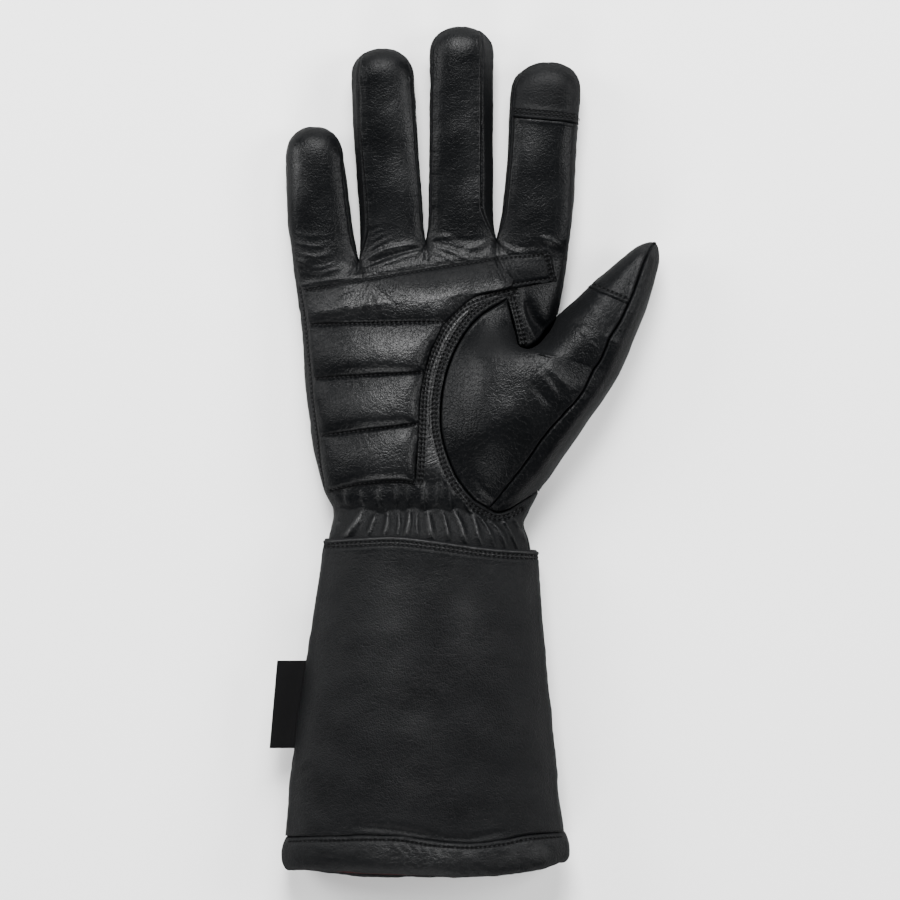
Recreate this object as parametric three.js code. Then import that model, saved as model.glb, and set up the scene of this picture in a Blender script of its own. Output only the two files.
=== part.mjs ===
// Right-hand leather gauntlet glove, lying on its back with the palm up.
// Millimetres. X runs across the palm towards the thumb, Y from the cuff to the fingertips,
// Z up from the surface it lies on. The origin is under the middle of the glove.
// The hand is one skin of curved patches. Each patch belongs to a leather panel, and each
// panel becomes a closed wall that stops a little short of its seams.

import * as THREE from 'three';

// Driving sizes
const HAND_LEATHER = 1.3;
const CUFF_LEATHER = 1.6;
const SEAM_GAP = 0.36;
const PAD_CLEARANCE = 0.5;
const ARCH_POWER = 2.4;
const FLOOR_POWER = 3.5;
const FLOOR_FLATTENING = 1.06;
const BASE_FADE = 3;

// Fingers: height of the side seam, crown, and half height of the side strip at the web
const FINGER_SIDE = 9.5;
const FINGER_TOP = 19.5;
const FINGER_WALL = 4.8;
const WALL_GROWTH = 70;
const CAP_LENGTH = 12.5;
const CAP_POWER = 2.2;
const CAP_ROWS = [0, 0.7, 3, 7, CAP_LENGTH];

// The four webs between the fingers and the two outer edges of the finger bases
const WEBS = [
  { x: -74.8, y: 82.8 },
  { x: -46.1, y: 82.8 },
  { x: -17.0, y: 90.9 },
  { x: 13.7, y: 92.0 },
  { x: 45.2, y: 92.0 },
];

// Each finger: tip, rows below the rounded cap, left and right outline, and how far round
// the finger the front seams lie, as a fraction of the half width
const FINGERS = [
  {
    name: 'little',
    tip: 141.7,
    rows: [0.25, 0.5, 0.75, 1],
    seamLeft: 1,
    seamRight: 0.93,
    outline: [
      { y: 141, left: -77.6, right: -53.4 },
      { y: 128, left: -77.8, right: -52.7 },
      { y: 105, left: -77.0, right: -50.0 },
      { y: 95, left: -76.3, right: -48.7 },
      { y: 82.8, left: -74.8, right: -46.1 },
    ],
  },
  {
    name: 'ring',
    tip: 175.7,
    rows: [0.25, 0.5, 0.75, 1],
    seamLeft: 0.8,
    seamRight: 0.95,
    outline: [
      { y: 175, left: -49.4, right: -22.6 },
      { y: 160, left: -49.1, right: -22.1 },
      { y: 136, left: -48.3, right: -20.7 },
      { y: 110, left: -46.0, right: -18.7 },
      { y: 95, left: -45.2, right: -17.8 },
      { y: 90.9, left: -45.3, right: -17.0 },
      { y: 82.8, left: -46.1, right: -16.6 },
    ],
  },
  {
    name: 'middle',
    tip: 185.2,
    rows: [0.25, 0.5, 0.75, 1],
    seamLeft: 0.95,
    seamRight: 0.66,
    outline: [
      { y: 185, left: -14.8, right: 12.0 },
      { y: 153, left: -15.2, right: 12.0 },
      { y: 110, left: -15.7, right: 12.0 },
      { y: 99, left: -15.9, right: 12.4 },
      { y: 92, left: -16.8, right: 13.7 },
      { y: 90.9, left: -17.0, right: 13.8 },
    ],
  },
  {
    name: 'index',
    tip: 169.6,
    rows: [0.183, 0.46, 0.73, 1],
    patchRow: 5,
    patchTilt: -4.1,
    seamLeft: 0.92,
    seamRight: 1,
    outline: [
      { y: 169, left: 20.9, right: 51.2 },
      { y: 155, left: 20.0, right: 50.0 },
      { y: 131, left: 18.7, right: 48.1 },
      { y: 105, left: 16.3, right: 46.7 },
      { y: 97, left: 14.8, right: 45.9 },
      { y: 92, left: 13.7, right: 45.2 },
    ],
  },
];

// The hand from the webs to the cuff: outline, side seam height, crown and underside height
const HAND = [
  { y: 92, left: -75.6, right: 45.2, side: 9.5, top: 20.5, floor: 0 },
  { y: 82.8, left: -74.8, right: 44.1, side: 9.5, top: 21.5, floor: 0 },
  { y: 66.6, left: -72.6, right: 41.4, side: 10, top: 24, floor: 0 },
  { y: 49, left: -70.2, right: 38.3, side: 10, top: 26, floor: 0 },
  { y: 31, left: -69.4, right: 36.2, side: 10, top: 27.5, floor: 0 },
  { y: 14, left: -67.4, right: 34.2, side: 10.5, top: 29, floor: 0 },
  { y: -3, left: -64.8, right: 33.0, side: 11.5, top: 30, floor: 0 },
  { y: -16.5, left: -61.3, right: 32.2, side: 12.5, top: 30.5, floor: 0 },
  { y: -21, left: -58.9, right: 30.2, side: 13, top: 30.5, floor: 0 },
  { y: -26, left: -56.9, right: 27.0, side: 13.5, top: 30, floor: 0.6 },
  { y: -31, left: -57.6, right: 25.6, side: 14.5, top: 31.5, floor: 1.6 },
  { y: -37, left: -58.8, right: 26.8, side: 15.2, top: 33.4, floor: 2.3 },
  { y: -48, left: -59.4, right: 28.4, side: 15.6, top: 34, floor: 2.4 },
];

// Edge of the thumb opening in the palm, from its top corner round to the heel of the hand
const OPENING = [
  { x: 18.5, y: 66.6 },
  { x: 6.5, y: 59.3 },
  { x: -1.3, y: 49.8 },
  { x: -7.0, y: 38.0 },
  { x: -10.0, y: 25.0 },
  { x: -10.4, y: 12.0 },
  { x: -8.3, y: 1.1 },
  { x: -4.8, y: -8.5 },
  { x: -0.4, y: -15.4 },
  { x: 4.8, y: -21.1 },
  { x: 10.4, y: -24.5 },
];

// The palm leather's lower edge of the opening, from the heel to the side of the wrist
const HEEL = [
  { x: 10.4, y: -24.5 },
  { x: 14.0, y: -26.0 },
  { x: 18.5, y: -25.2 },
  { x: 22.8, y: -22.6 },
  { x: 27.6, y: -19.5 },
  { x: 30.6, y: -17.7 },
  { x: 32.2, y: -16.5 },
];

// Lower edge of the palm leather at the thumb crotch, from the palm to the side of the hand
const CROTCH = [
  { x: 23.5, y: 46.3 },
  { x: 27.5, y: 45.6 },
  { x: 31.4, y: 47.9 },
  { x: 34.6, y: 51.4 },
  { x: 37.2, y: 54.8 },
  { x: 39.0, y: 57.5 },
  { x: 40.0, y: 59.5 },
];

// Free thumb, tip to crotch: inner outline, outer outline, seam as a share of the width
const THUMB = [
  { innerX: 82.6, innerY: 91.2, outerX: 82.6, outerY: 91.2, seam: 0.43, side: 14, top: 14, floor: 14 },
  { innerX: 80.0, innerY: 91.4, outerX: 84.1, outerY: 89.0, seam: 0.43, side: 14, top: 17.3, floor: 11.2 },
  { innerX: 76.8, innerY: 90.5, outerX: 84.6, outerY: 85.4, seam: 0.45, side: 14, top: 20.6, floor: 8 },
  { innerX: 72.6, innerY: 88.0, outerX: 84.2, outerY: 81.0, seam: 0.51, side: 14, top: 24, floor: 5 },
  { innerX: 62.6, innerY: 79.3, outerX: 81.3, outerY: 70.7, seam: 0.64, side: 14, top: 28, floor: 1.5 },
  { innerX: 54.3, innerY: 72.4, outerX: 78.7, outerY: 62.0, seam: 0.69, side: 14, top: 30.5, floor: 0 },
  { innerX: 47.8, innerY: 65.9, outerX: 75.2, outerY: 53.3, seam: 0.71, side: 13.5, top: 32.5, floor: 0 },
  { innerX: 40.0, innerY: 59.5, outerX: 71.7, outerY: 44.6, seam: 0.70, side: 13.5, top: 34, floor: 0 },
];
const THUMB_PATCH_ROWS = 5;
const THUMB_ROOT = { outerX: 66.5, outerY: 33.3, seam: 0.753, side: 13.5, top: 36 };
const THENAR_BULGE = 3.5;

// Seam and outer outline of the thumb from the crotch level down to the wrist
const THUMB_SEAM = [
  { x: 50.0, y: 25.2, z: 33.0 },
  { x: 42.5, y: 16.5, z: 33.5 },
  { x: 35.7, y: 8.9, z: 33.5 },
  { x: 28.5, y: -1.0, z: 32.5 },
  { x: 20.5, y: -12.0, z: 31.0 },
];
const THUMB_OUTER = [
  { x: 60.2, y: 22.7 },
  { x: 54.3, y: 14.1 },
  { x: 48.2, y: 5.4 },
  { x: 42.0, y: -3.0 },
  { x: 36.5, y: -11.2 },
  { x: 32.2, y: -16.5 },
];

// Right edge of the back of the hand, as a share of the hand's width
const BACK_EDGE = [
  { y: 70, share: 1 },
  { y: 63, share: 1 },
  { y: 59.5, share: 1 },
  { y: 50, share: 0.965 },
  { y: 38, share: 0.95 },
  { y: 0, share: 0.95 },
  { y: -12, share: 0.985 },
  { y: -16.5, share: 1 },
  { y: -20, share: 1 },
  { y: -60, share: 1 },
];
const BACK_EDGE_CLEARANCE = 0.005;
const BACK_EDGE_CROTCH = 59.5;
const BACK_EDGE_LEVEL = 40;
const BACK_EDGE_WRIST = -16.5;
const WHOLE_WIDTH = 0.9999;

// Quilted palm pad: rows from the top seam to the bottom seam, padding over the leather
const PAD_LEATHER = 1.3;
const PAD_ROWS = [
  { leftX: -70.0, leftY: 71.1, rightX: 14.8, rightY: 85.2, padding: 0 },
  { leftX: -69.2, leftY: 66.8, rightX: 18.0, rightY: 79.0, padding: 1.6 },
  { leftX: -68.5, leftY: 62.6, rightX: 20.3, rightY: 71.6, padding: 3.2 },
  { leftX: -67.9, leftY: 58.6, rightX: 4.5, rightY: 66.8, padding: 3.4 },
  { leftX: -67.4, leftY: 55.4, rightX: -8.3, rightY: 56.3, padding: 0 },
  { leftX: -67.0, leftY: 51.6, rightX: -11.0, rightY: 51.2, padding: 3.8 },
  { leftX: -66.4, leftY: 44.4, rightX: -13.9, rightY: 45.2, padding: 4.4 },
  { leftX: -65.7, leftY: 36.4, rightX: -16.3, rightY: 38.0, padding: 2.6 },
  { leftX: -65.2, leftY: 32.0, rightX: -17.2, rightY: 34.6, padding: 0 },
  { leftX: -64.9, leftY: 28.2, rightX: -18.2, rightY: 30.0, padding: 3.8 },
  { leftX: -64.2, leftY: 20.8, rightX: -19.2, rightY: 23.0, padding: 4.4 },
  { leftX: -63.2, leftY: 12.0, rightX: -19.6, rightY: 16.0, padding: 2.6 },
  { leftX: -62.6, leftY: 7.2, rightX: -19.7, rightY: 12.4, padding: 0 },
  { leftX: -62.2, leftY: 3.2, rightX: -20.0, rightY: 8.0, padding: 3.8 },
  { leftX: -61.4, leftY: -4.4, rightX: -20.5, rightY: 0.0, padding: 4.4 },
  { leftX: -60.0, leftY: -13.4, rightX: -21.1, rightY: -9.6, padding: 2.4 },
  { leftX: -59.1, leftY: -17.6, rightX: -21.4, rightY: -14.1, padding: 0 },
];
const PAD_COLUMNS = 12;
const PAD_CROWDING = 0.6;
const PAD_FULLNESS = 0.45;
const PAD_BOTTOM_SAG = 2.2;

// Reinforcing tab beside the pad's top end, at the root of the index finger
const TAB = {
  topLeft: { x: 15.6, y: 85.3 },
  topRight: { x: 34.8, y: 86.7 },
  bottomRight: { x: 38.4, y: 74.9 },
  bottomLeft: { x: 21.3, y: 71.6 },
  padding: 1.2,
  rows: 4,
  columns: 6,
};

// Gathers of the elastic wrist: ridge height along the wrist
const GATHERS = [
  { y: -16, height: 0 },
  { y: -24, height: 0.1 },
  { y: -28, height: 0.8 },
  { y: -34, height: 0.6 },
  { y: -40, height: 0.3 },
  { y: -48, height: 0.2 },
];
const WRIST_BOTTOM = -48;
const WRIST_SPACING = 0.9;
const WRIST_ROWS = 5;
const FINGER_BASE_ROWS = 4;

// Gauntlet cuff: outline, side seam height, crown and underside
const CUFF = [
  { y: -36, left: -61.0, right: 30.9, side: 15.6, top: 36.6, floor: 0 },
  { y: -64, left: -64.8, right: 32.6, side: 16, top: 38.5, floor: 0 },
  { y: -90, left: -68.5, right: 34.8, side: 16.5, top: 39.8, floor: 0 },
  { y: -116, left: -72.2, right: 37.4, side: 17, top: 40.8, floor: 0 },
  { y: -142, left: -75.4, right: 40.0, side: 17.5, top: 41.4, floor: 0 },
  { y: -170, left: -77.6, right: 43.0, side: 18, top: 41.8, floor: 0 },
  { y: -190, left: -78.6, right: 44.2, side: 18, top: 42, floor: 0 },
];
const CUFF_ROWS = 6;
const CUFF_CELLS = 16;
const CUFF_TOP_EDGE = [
  { share: 0, y: -39.2 },
  { share: 0.18, y: -37.6 },
  { share: 0.34, y: -36.7 },
  { share: 0.53, y: -38.3 },
  { share: 0.79, y: -41.1 },
  { share: 1, y: -42.8 },
];
const HEM_LINE = [
  { share: 0, y: -166.2 },
  { share: 0.3, y: -164.8 },
  { share: 0.4, y: -165.0 },
  { share: 0.52, y: -167.2 },
  { share: 0.65, y: -168.3 },
  { share: 0.77, y: -167.2 },
  { share: 0.86, y: -165.0 },
  { share: 1, y: -164.1 },
];
const HEM_FRONT_BOTTOM = [
  { share: 0, y: -180.6 },
  { share: 0.2, y: -180.8 },
  { share: 0.5, y: -182.2 },
  { share: 0.68, y: -183.1 },
  { share: 0.85, y: -181.2 },
  { share: 1, y: -177.6 },
];
const HEM_BACK_BOTTOM = [
  { share: 0, y: -180.6 },
  { share: 0.2, y: -184.0 },
  { share: 0.4, y: -185.2 },
  { share: 0.65, y: -184.9 },
  { share: 0.85, y: -182.4 },
  { share: 1, y: -177.6 },
];

// Turned hem and the lining's edge in it: closed outlines, down as a share of the hem's depth
const HEM_PROFILE = [
  { down: 0.02, out: -1.9 },
  { down: 0.02, out: -0.3 },
  { down: 0.14, out: 0.9 },
  { down: 0.45, out: 1.7 },
  { down: 0.8, out: 1.3 },
  { down: 1, out: -0.7 },
  { down: 0.93, out: -2.3 },
  { down: 0.5, out: -2.6 },
];
const LINING_PROFILE = [
  { down: 0.62, out: -4.0 },
  { down: 0.62, out: -3.0 },
  { down: 0.94, out: -3.0 },
  { down: 0.94, out: -4.0 },
];
const MOUTH_SEGMENTS = 36;

// Folded ribbon label in the cuff's left seam
const LABEL = {
  top: -90.3,
  bottom: -128.3,
  outerTop: -81.5,
  outerBottom: -84.8,
  rootGap: 0.35,
  halfThickness: 0.9,
  ribbon: 0.55,
  rows: 4,
  lift: 1.2,
};
const LABEL_FOLD = [
  { reach: 0, level: 1 },
  { reach: 0.5, level: 1 },
  { reach: 0.94, level: 0.9 },
  { reach: 1, level: 0 },
  { reach: 0.94, level: -0.9 },
  { reach: 0.5, level: -1 },
  { reach: 0, level: -1 },
];

// Curves and profiles

const mix = THREE.MathUtils.lerp;
const clamp = THREE.MathUtils.clamp;

// Smooth curve through one column of a table, with its slopes taken from the neighbouring rows
function through(table, key, name) {
  const keys = table.map((row) => row[key]);
  const values = table.map((row) => row[name]);
  const last = keys.length - 1;
  const rising = keys[last] > keys[0];
  const slopes = values.map((value, i) => {
    const a = Math.max(i - 1, 0);
    const b = Math.min(i + 1, last);
    return (values[b] - values[a]) / (keys[b] - keys[a]);
  });
  return (at) => {
    const k = clamp(at, Math.min(keys[0], keys[last]), Math.max(keys[0], keys[last]));
    let i = 0;
    while (i < last - 1 && (rising ? k > keys[i + 1] : k < keys[i + 1])) {
      i += 1;
    }
    const span = keys[i + 1] - keys[i];
    const t = (k - keys[i]) / span;
    const t2 = t * t;
    const t3 = t2 * t;
    const start = (2 * t3 - 3 * t2 + 1) * values[i] + (t3 - 2 * t2 + t) * span * slopes[i];
    const end = (3 * t2 - 2 * t3) * values[i + 1] + (t3 - t2) * span * slopes[i + 1];
    return start + end;
  };
}

// Every named column of a table as a function of its key
function sectionOf(table, key, names) {
  const columns = names.map((name) => through(table, key, name));
  return (at) => Object.fromEntries(names.map((name, i) => [name, columns[i](at)]));
}

// Rounded profile from -1 to 1: zero at both ends, one in the middle
function round(u, power) {
  return Math.pow(Math.max(0, 1 - Math.pow(Math.min(1, Math.abs(u)), power)), 1 / power);
}

// Upper and lower height of a section at u, from -1 at its left edge to 1 at its right
function upper(section, u) {
  return section.side + (section.top - section.side) * round(u, ARCH_POWER);
}

function lower(section, u) {
  const flat = Math.min(1, FLOOR_FLATTENING * round(u, FLOOR_POWER));
  return section.side - (section.side - Math.max(0, section.floor)) * flat;
}

// Position across a section as u, for a point at x
function across(section, x) {
  return (2 * (x - section.left)) / (section.right - section.left) - 1;
}

// Even steps from 0 to 1
function steps(count) {
  return Array.from({ length: count + 1 }, (_, i) => i / count);
}

const crowded = (t) => 0.5 - 0.5 * Math.cos(Math.PI * t);
const crowdedStart = (t) => Math.pow(1 - Math.cos((Math.PI * t) / 2), 0.85);
const crowdedEnd = (t) => Math.sin((Math.PI * t) / 2);
const point = (x, y, z) => new THREE.Vector3(x, y, z);

const SECTION = ['left', 'right', 'side', 'top', 'floor'];
const handAt = sectionOf(HAND, 'y', SECTION);
const cuffAt = sectionOf(CUFF, 'y', SECTION);
const gatherAt = through(GATHERS, 'y', 'height');
const backEdge = through(BACK_EDGE, 'y', 'share');
const backEdgeAt = (y) => Math.min(1, backEdge(y));

// Fingers

const FRONT_CELLS = 6;
const BACK_CELLS = 5;
const STRIP_LEVELS = [1, 0.55, -0.3, -1];

// Section of a finger at y: its outline narrows and flattens over the rounded cap
function fingerSection(finger, y) {
  const depth = finger.tip - y;
  const inCap = clamp(1 - depth / CAP_LENGTH, 0, 1);
  const cap = Math.pow(Math.max(0, 1 - Math.pow(inCap, CAP_POWER)), 1 / CAP_POWER);
  const left = finger.leftAt(y);
  const right = finger.rightAt(y);
  const wallRise = clamp((depth - CAP_ROWS[1]) / WALL_GROWTH, 0, 1);
  return {
    centre: (left + right) / 2,
    half: ((right - left) / 2) * cap,
    wall: FINGER_WALL * Math.sqrt(wallRise) * cap,
    crown: (FINGER_TOP - FINGER_SIDE) * cap,
    belly: FINGER_SIDE * cap,
  };
}

// Point on the front arch of a finger
function fingerFront(finger, y, u) {
  const s = fingerSection(finger, y);
  const z = FINGER_SIDE + s.wall + (s.crown - s.wall) * round(u, ARCH_POWER);
  return point(s.centre + s.half * u, y, z);
}

// Point on the back of a finger, flat where it lies
function fingerBack(finger, y, u) {
  const s = fingerSection(finger, y);
  const flat = Math.min(1, FLOOR_FLATTENING * round(u, FLOOR_POWER));
  const z = FINGER_SIDE - s.wall - (s.belly - s.wall) * flat;
  return point(s.centre + s.half * u, y, z);
}

// Point on the side of a finger: level 1 is the wall's top, -1 its foot
function fingerSide(finger, y, side, level) {
  const s = fingerSection(finger, y);
  return point(s.centre + s.half * side, y, FINGER_SIDE + s.wall * level);
}

// Rows of a finger from tip to web, as y for a share of the finger's width
function fingerRows(finger, index) {
  const leftWeb = WEBS[index].y;
  const rightWeb = WEBS[index + 1].y;
  const cap = CAP_ROWS.map((depth) => () => finger.tip - depth);
  const below = finger.rows.map((share, i) => (across01) => {
    const tilt = CAP_ROWS.length + i === finger.patchRow ? finger.patchTilt * (across01 - 0.5) : 0;
    return mix(finger.tip - CAP_LENGTH, mix(leftWeb, rightWeb, across01), share) + tilt;
  });
  return [...cap, ...below];
}

// Share of the half width at which the front seam lies: at the side on the tip and at the web
function seamShare(inset, row, lastRow) {
  if (row <= 1 || row === lastRow) {
    return 1;
  }
  return row === 2 || row === lastRow - 1 ? (1 + inset) / 2 : inset;
}

FINGERS.forEach((finger, index) => {
  finger.leftAt = through(finger.outline, 'y', 'left');
  finger.rightAt = through(finger.outline, 'y', 'right');
  finger.rowAt = fingerRows(finger, index);
});
const FINGER_LAST_ROW = CAP_ROWS.length + 3;

// Front of a finger as rows of points from its left seam to its right seam
function fingerFrontRows(finger, index) {
  const outerLeft = index === 0;
  const outerRight = index === FINGERS.length - 1;
  return finger.rowAt.map((yAt, row) => {
    const start = Math.acos(seamShare(finger.seamLeft, row, FINGER_LAST_ROW));
    const end = Math.PI - Math.acos(seamShare(finger.seamRight, row, FINGER_LAST_ROW));
    const first = outerLeft ? 1 : 0;
    const archCells = FRONT_CELLS - first - (outerRight ? 1 : 0);
    return steps(FRONT_CELLS).map((share, i) => {
      const y = yAt(share);
      if (outerLeft && i === 0) {
        return fingerSide(finger, y, -1, 0);
      }
      if (outerRight && i === FRONT_CELLS) {
        return fingerSide(finger, y, 1, 0);
      }
      return fingerFront(finger, y, -Math.cos(mix(start, end, (i - first) / archCells)));
    });
  });
}

// Back of a finger as rows of points from its left side to its right side
function fingerBackRows(finger, index) {
  const outerLeft = index === 0;
  const outerRight = index === FINGERS.length - 1;
  return finger.rowAt.map((yAt) => {
    const first = outerLeft ? 1 : 0;
    const archCells = BACK_CELLS - first - (outerRight ? 1 : 0);
    return steps(BACK_CELLS).map((share, i) => {
      const y = yAt(share);
      if (outerLeft && i === 0) {
        return fingerSide(finger, y, -1, 0);
      }
      if (outerRight && i === BACK_CELLS) {
        return fingerSide(finger, y, 1, 0);
      }
      return fingerBack(finger, y, -Math.cos(Math.PI * ((i - first) / archCells)));
    });
  });
}

// Side strip: down the right side of one finger, through the web, up the left side of the next
function fourchetteRows(index) {
  const side = (finger, direction, inset, row, share) => {
    const y = finger.rowAt[row](share);
    const seam = seamShare(inset, row, FINGER_LAST_ROW);
    return STRIP_LEVELS.map((level, i) => {
      if (i === 0) {
        return fingerFront(finger, y, direction * seam);
      }
      return fingerSide(finger, y, direction, level);
    });
  };
  const rows = [];
  for (let row = 1; row <= FINGER_LAST_ROW; row += 1) {
    rows.push(side(FINGERS[index], 1, FINGERS[index].seamRight, row, 1));
  }
  for (let row = FINGER_LAST_ROW - 1; row >= 1; row -= 1) {
    rows.push(side(FINGERS[index + 1], -1, FINGERS[index + 1].seamLeft, row, 0));
  }
  return rows;
}

// Palm and back surfaces

const HOLE_TOP = OPENING[0].y;

// Number of the finger whose base holds x
function fingerOver(x) {
  const index = WEBS.findIndex((web) => x < web.x) - 1;
  return clamp(index === -2 ? FINGERS.length - 1 : index, 0, FINGERS.length - 1);
}

// Height of the line through the webs at x
function webLine(x) {
  const i = fingerOver(x);
  return mix(WEBS[i].y, WEBS[i + 1].y, clamp((x - WEBS[i].x) / (WEBS[i + 1].x - WEBS[i].x), 0, 1));
}

// A hand surface that starts as the finger bases at the web line and smooths out below it
function blended(x, y, ofHand, ofFinger) {
  const web = webLine(x);
  const i = fingerOver(x);
  const u = clamp((2 * (x - WEBS[i].x)) / (WEBS[i + 1].x - WEBS[i].x) - 1, -1, 1);
  const near = Math.pow(clamp((y - HOLE_TOP) / (web - HOLE_TOP), 0, 1), BASE_FADE);
  const handHeight = (atY) => {
    const section = handAt(atY);
    return ofHand(section, across(section, x));
  };
  return handHeight(y) + (ofFinger(FINGERS[i], web, u).z - handHeight(web)) * near;
}

const palmHeight = (x, y) => blended(x, y, upper, fingerFront);
const backHeight = (x, y) => blended(x, y, lower, fingerBack);

// Point of a hand surface at a share of the hand's width, on the side seam at 0 and 1
function handPoint(share, y, heightAt) {
  const section = handAt(y);
  const x = mix(section.left, section.right, share);
  return point(x, y, heightAt(x, y));
}

// Point on the side seam, where the walls on both sides of it stand upright
function seamPoint(share, y) {
  const section = handAt(y);
  const p = point(mix(section.left, section.right, share), y, section.side);
  p.upright = true;
  return p;
}

const shareAt = (x, y) => {
  const section = handAt(y);
  return (x - section.left) / (section.right - section.left);
};

// Wrist gathers: neighbouring columns lie in turn above and below the plain surface
function gathered(p, column, edge) {
  return edge ? p : point(p.x, p.y, p.z + (column % 2 ? 1 : -1) * gatherAt(p.y));
}

// Palm side of the hand, in patches that share their border points
function palmPatches(baseRow) {
  const columns = baseRow.length - 1;
  const holeColumn = (columns * 3) / 4;
  const tongueCells = columns - holeColumn;
  const holeShare = shareAt(OPENING[0].x, HOLE_TOP);
  const levelShare = (i) => {
    if (i <= holeColumn) {
      return holeShare * crowdedStart(i / holeColumn);
    }
    return mix(holeShare, 1, crowdedEnd((i - holeColumn) / tongueCells));
  };
  const underFingers = steps(FINGER_BASE_ROWS).map((s, row) => baseRow.map((base, i) => {
    if (row === 0) {
      return base;
    }
    const y = mix(base.y, HOLE_TOP, s);
    if (i === 0 || i === columns) {
      return seamPoint(i === 0 ? 0 : 1, y);
    }
    return handPoint(mix(shareAt(base.x, base.y), levelShare(i), s), y, palmHeight);
  }));
  const besideOpening = OPENING.map((edge) => steps(holeColumn).map((c, i) => {
    if (i === 0) {
      return seamPoint(0, edge.y);
    }
    return handPoint(shareAt(edge.x, edge.y) * crowdedStart(c), edge.y, palmHeight);
  }));
  const levelRow = underFingers[underFingers.length - 1];
  const tongue = steps(tongueCells).map((s, row) => CROTCH.map((edge, i) => {
    const above = levelRow[holeColumn + i];
    const x = mix(above.x, edge.x, s);
    const y = mix(above.y, edge.y, s);
    if (row === 0) {
      return above;
    }
    return i === tongueCells ? seamPoint(1, y) : point(x, y, palmHeight(x, y));
  }));
  const heelRow = HEEL.map((edge, i) => {
    const y = edge.y;
    return i === tongueCells ? seamPoint(1, y) : point(edge.x, y, palmHeight(edge.x, y));
  });
  const wristTop = [...besideOpening[besideOpening.length - 1], ...heelRow.slice(1)];
  const wrist = steps(WRIST_ROWS).map((s, row) => wristTop.map((top, i) => {
    if (row === 0) {
      return top;
    }
    const y = mix(top.y, WRIST_BOTTOM, Math.pow(s, WRIST_SPACING));
    const share = mix(shareAt(top.x, top.y), crowded(i / columns), s);
    if (i === 0 || i === columns) {
      return seamPoint(i === 0 ? 0 : 1, y);
    }
    return gathered(handPoint(share, y, palmHeight), i, false);
  }));
  return { underFingers, besideOpening, tongue, wrist, heelRow };
}

// Back of the hand from the finger backs to the wrist
function backPatches(baseRow) {
  const columns = baseRow.length - 1;
  const underFingers = steps(FINGER_BASE_ROWS).map((s, row) => baseRow.map((base, i) => {
    if (row === 0) {
      return base;
    }
    const y = mix(base.y, HOLE_TOP, s);
    if (i === 0 || i === columns) {
      return seamPoint(i === 0 ? 0 : 1, y);
    }
    return handPoint(mix(shareAt(base.x, base.y), crowded(i / columns), s), y, backHeight);
  }));
  const bottom = OPENING[OPENING.length - 1].y;
  const levelAt = (y, c) => mix(y, mix(HOLE_TOP, BACK_EDGE_WRIST, (HOLE_TOP - y) / (HOLE_TOP - bottom)), c);
  const besideThumb = OPENING.map((edge) => steps(columns).map((c, i) => {
    const y = levelAt(edge.y, c);
    const share = backEdgeAt(y) * crowded(c);
    return i === 0 || share > WHOLE_WIDTH ? seamPoint(share, y) : handPoint(share, y, backHeight);
  }));
  const wrist = steps(WRIST_ROWS).map((s) => steps(columns).map((c, i) => {
    const y = mix(levelAt(bottom, c), WRIST_BOTTOM, Math.pow(s, WRIST_SPACING));
    const edge = i === 0 || i === columns;
    return edge ? seamPoint(c, y) : gathered(handPoint(crowded(c), y, backHeight), i, s === 0);
  }));
  return { underFingers, besideThumb, wrist };
}

// Thumb

const THUMB_FRONT_CELLS = OPENING.length - 1;
const THUMB_BACK_CELLS = 6;
const CROTCH_STEPS = CROTCH.length - 1;
const SEAM_STEPS = THUMB_SEAM.length + 1;

// Point where the thumb's back meets the back of the hand, underneath
function besideBackEdge(y) {
  return handPoint(Math.min(1, backEdgeAt(y) + BACK_EDGE_CLEARANCE), y, backHeight);
}

// Stations of the thumb from its tip to the level of the crotch
function thumbStations() {
  const free = THUMB.map((row) => {
    const inner = point(row.innerX, row.innerY, row.side);
    const outer = point(row.outerX, row.outerY, row.side);
    return { ...row, inner, outer, under: inner };
  });
  const first = free[free.length - 1];
  first.inner = seamPoint(1, first.innerY);
  first.under = first.inner;
  const rooted = steps(CROTCH_STEPS).slice(1).map((s, i) => {
    const edge = CROTCH[CROTCH_STEPS - 1 - i];
    const outerX = mix(first.outerX, THUMB_ROOT.outerX, s);
    const outerY = mix(first.outerY, THUMB_ROOT.outerY, s);
    return {
      inner: point(edge.x, edge.y, palmHeight(edge.x, edge.y)),
      outer: point(outerX, outerY, first.side),
      under: besideBackEdge(mix(BACK_EDGE_CROTCH, BACK_EDGE_LEVEL, s)),
      seam: mix(first.seam, THUMB_ROOT.seam, s),
      top: mix(first.top, THUMB_ROOT.top, s),
      floor: 0,
    };
  });
  return [...free, ...rooted];
}

// Point on the front of a thumb station, q from 0 at the inner outline to 1 at the outer
function thumbArch(station, q) {
  const p = station.inner.clone().lerp(station.outer, q);
  const middle = (station.inner.z + station.outer.z) / 2;
  p.z += (station.top - middle) * round(2 * q - 1, ARCH_POWER);
  return p;
}

// Row of the thumb's back: over the outer edge from the seam, then underneath to its inner edge
function thumbBackRow(seamPointAt, outer, under, floor) {
  const over = steps(THUMB_BACK_CELLS).map((s) => {
    const q = crowdedEnd(s);
    const p = seamPointAt.clone().lerp(outer, q);
    p.z = outer.z + (seamPointAt.z - outer.z) * round(q, ARCH_POWER);
    return p;
  });
  const beneath = steps(THUMB_BACK_CELLS).slice(1).map((s) => {
    const q = crowded(s);
    const p = outer.clone().lerp(under, q);
    const flat = Math.min(1, FLOOR_FLATTENING * round(2 * q - 1, FLOOR_POWER));
    p.z -= (p.z - Math.min(floor, p.z)) * flat;
    return p;
  });
  return [...over, ...beneath];
}

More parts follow.
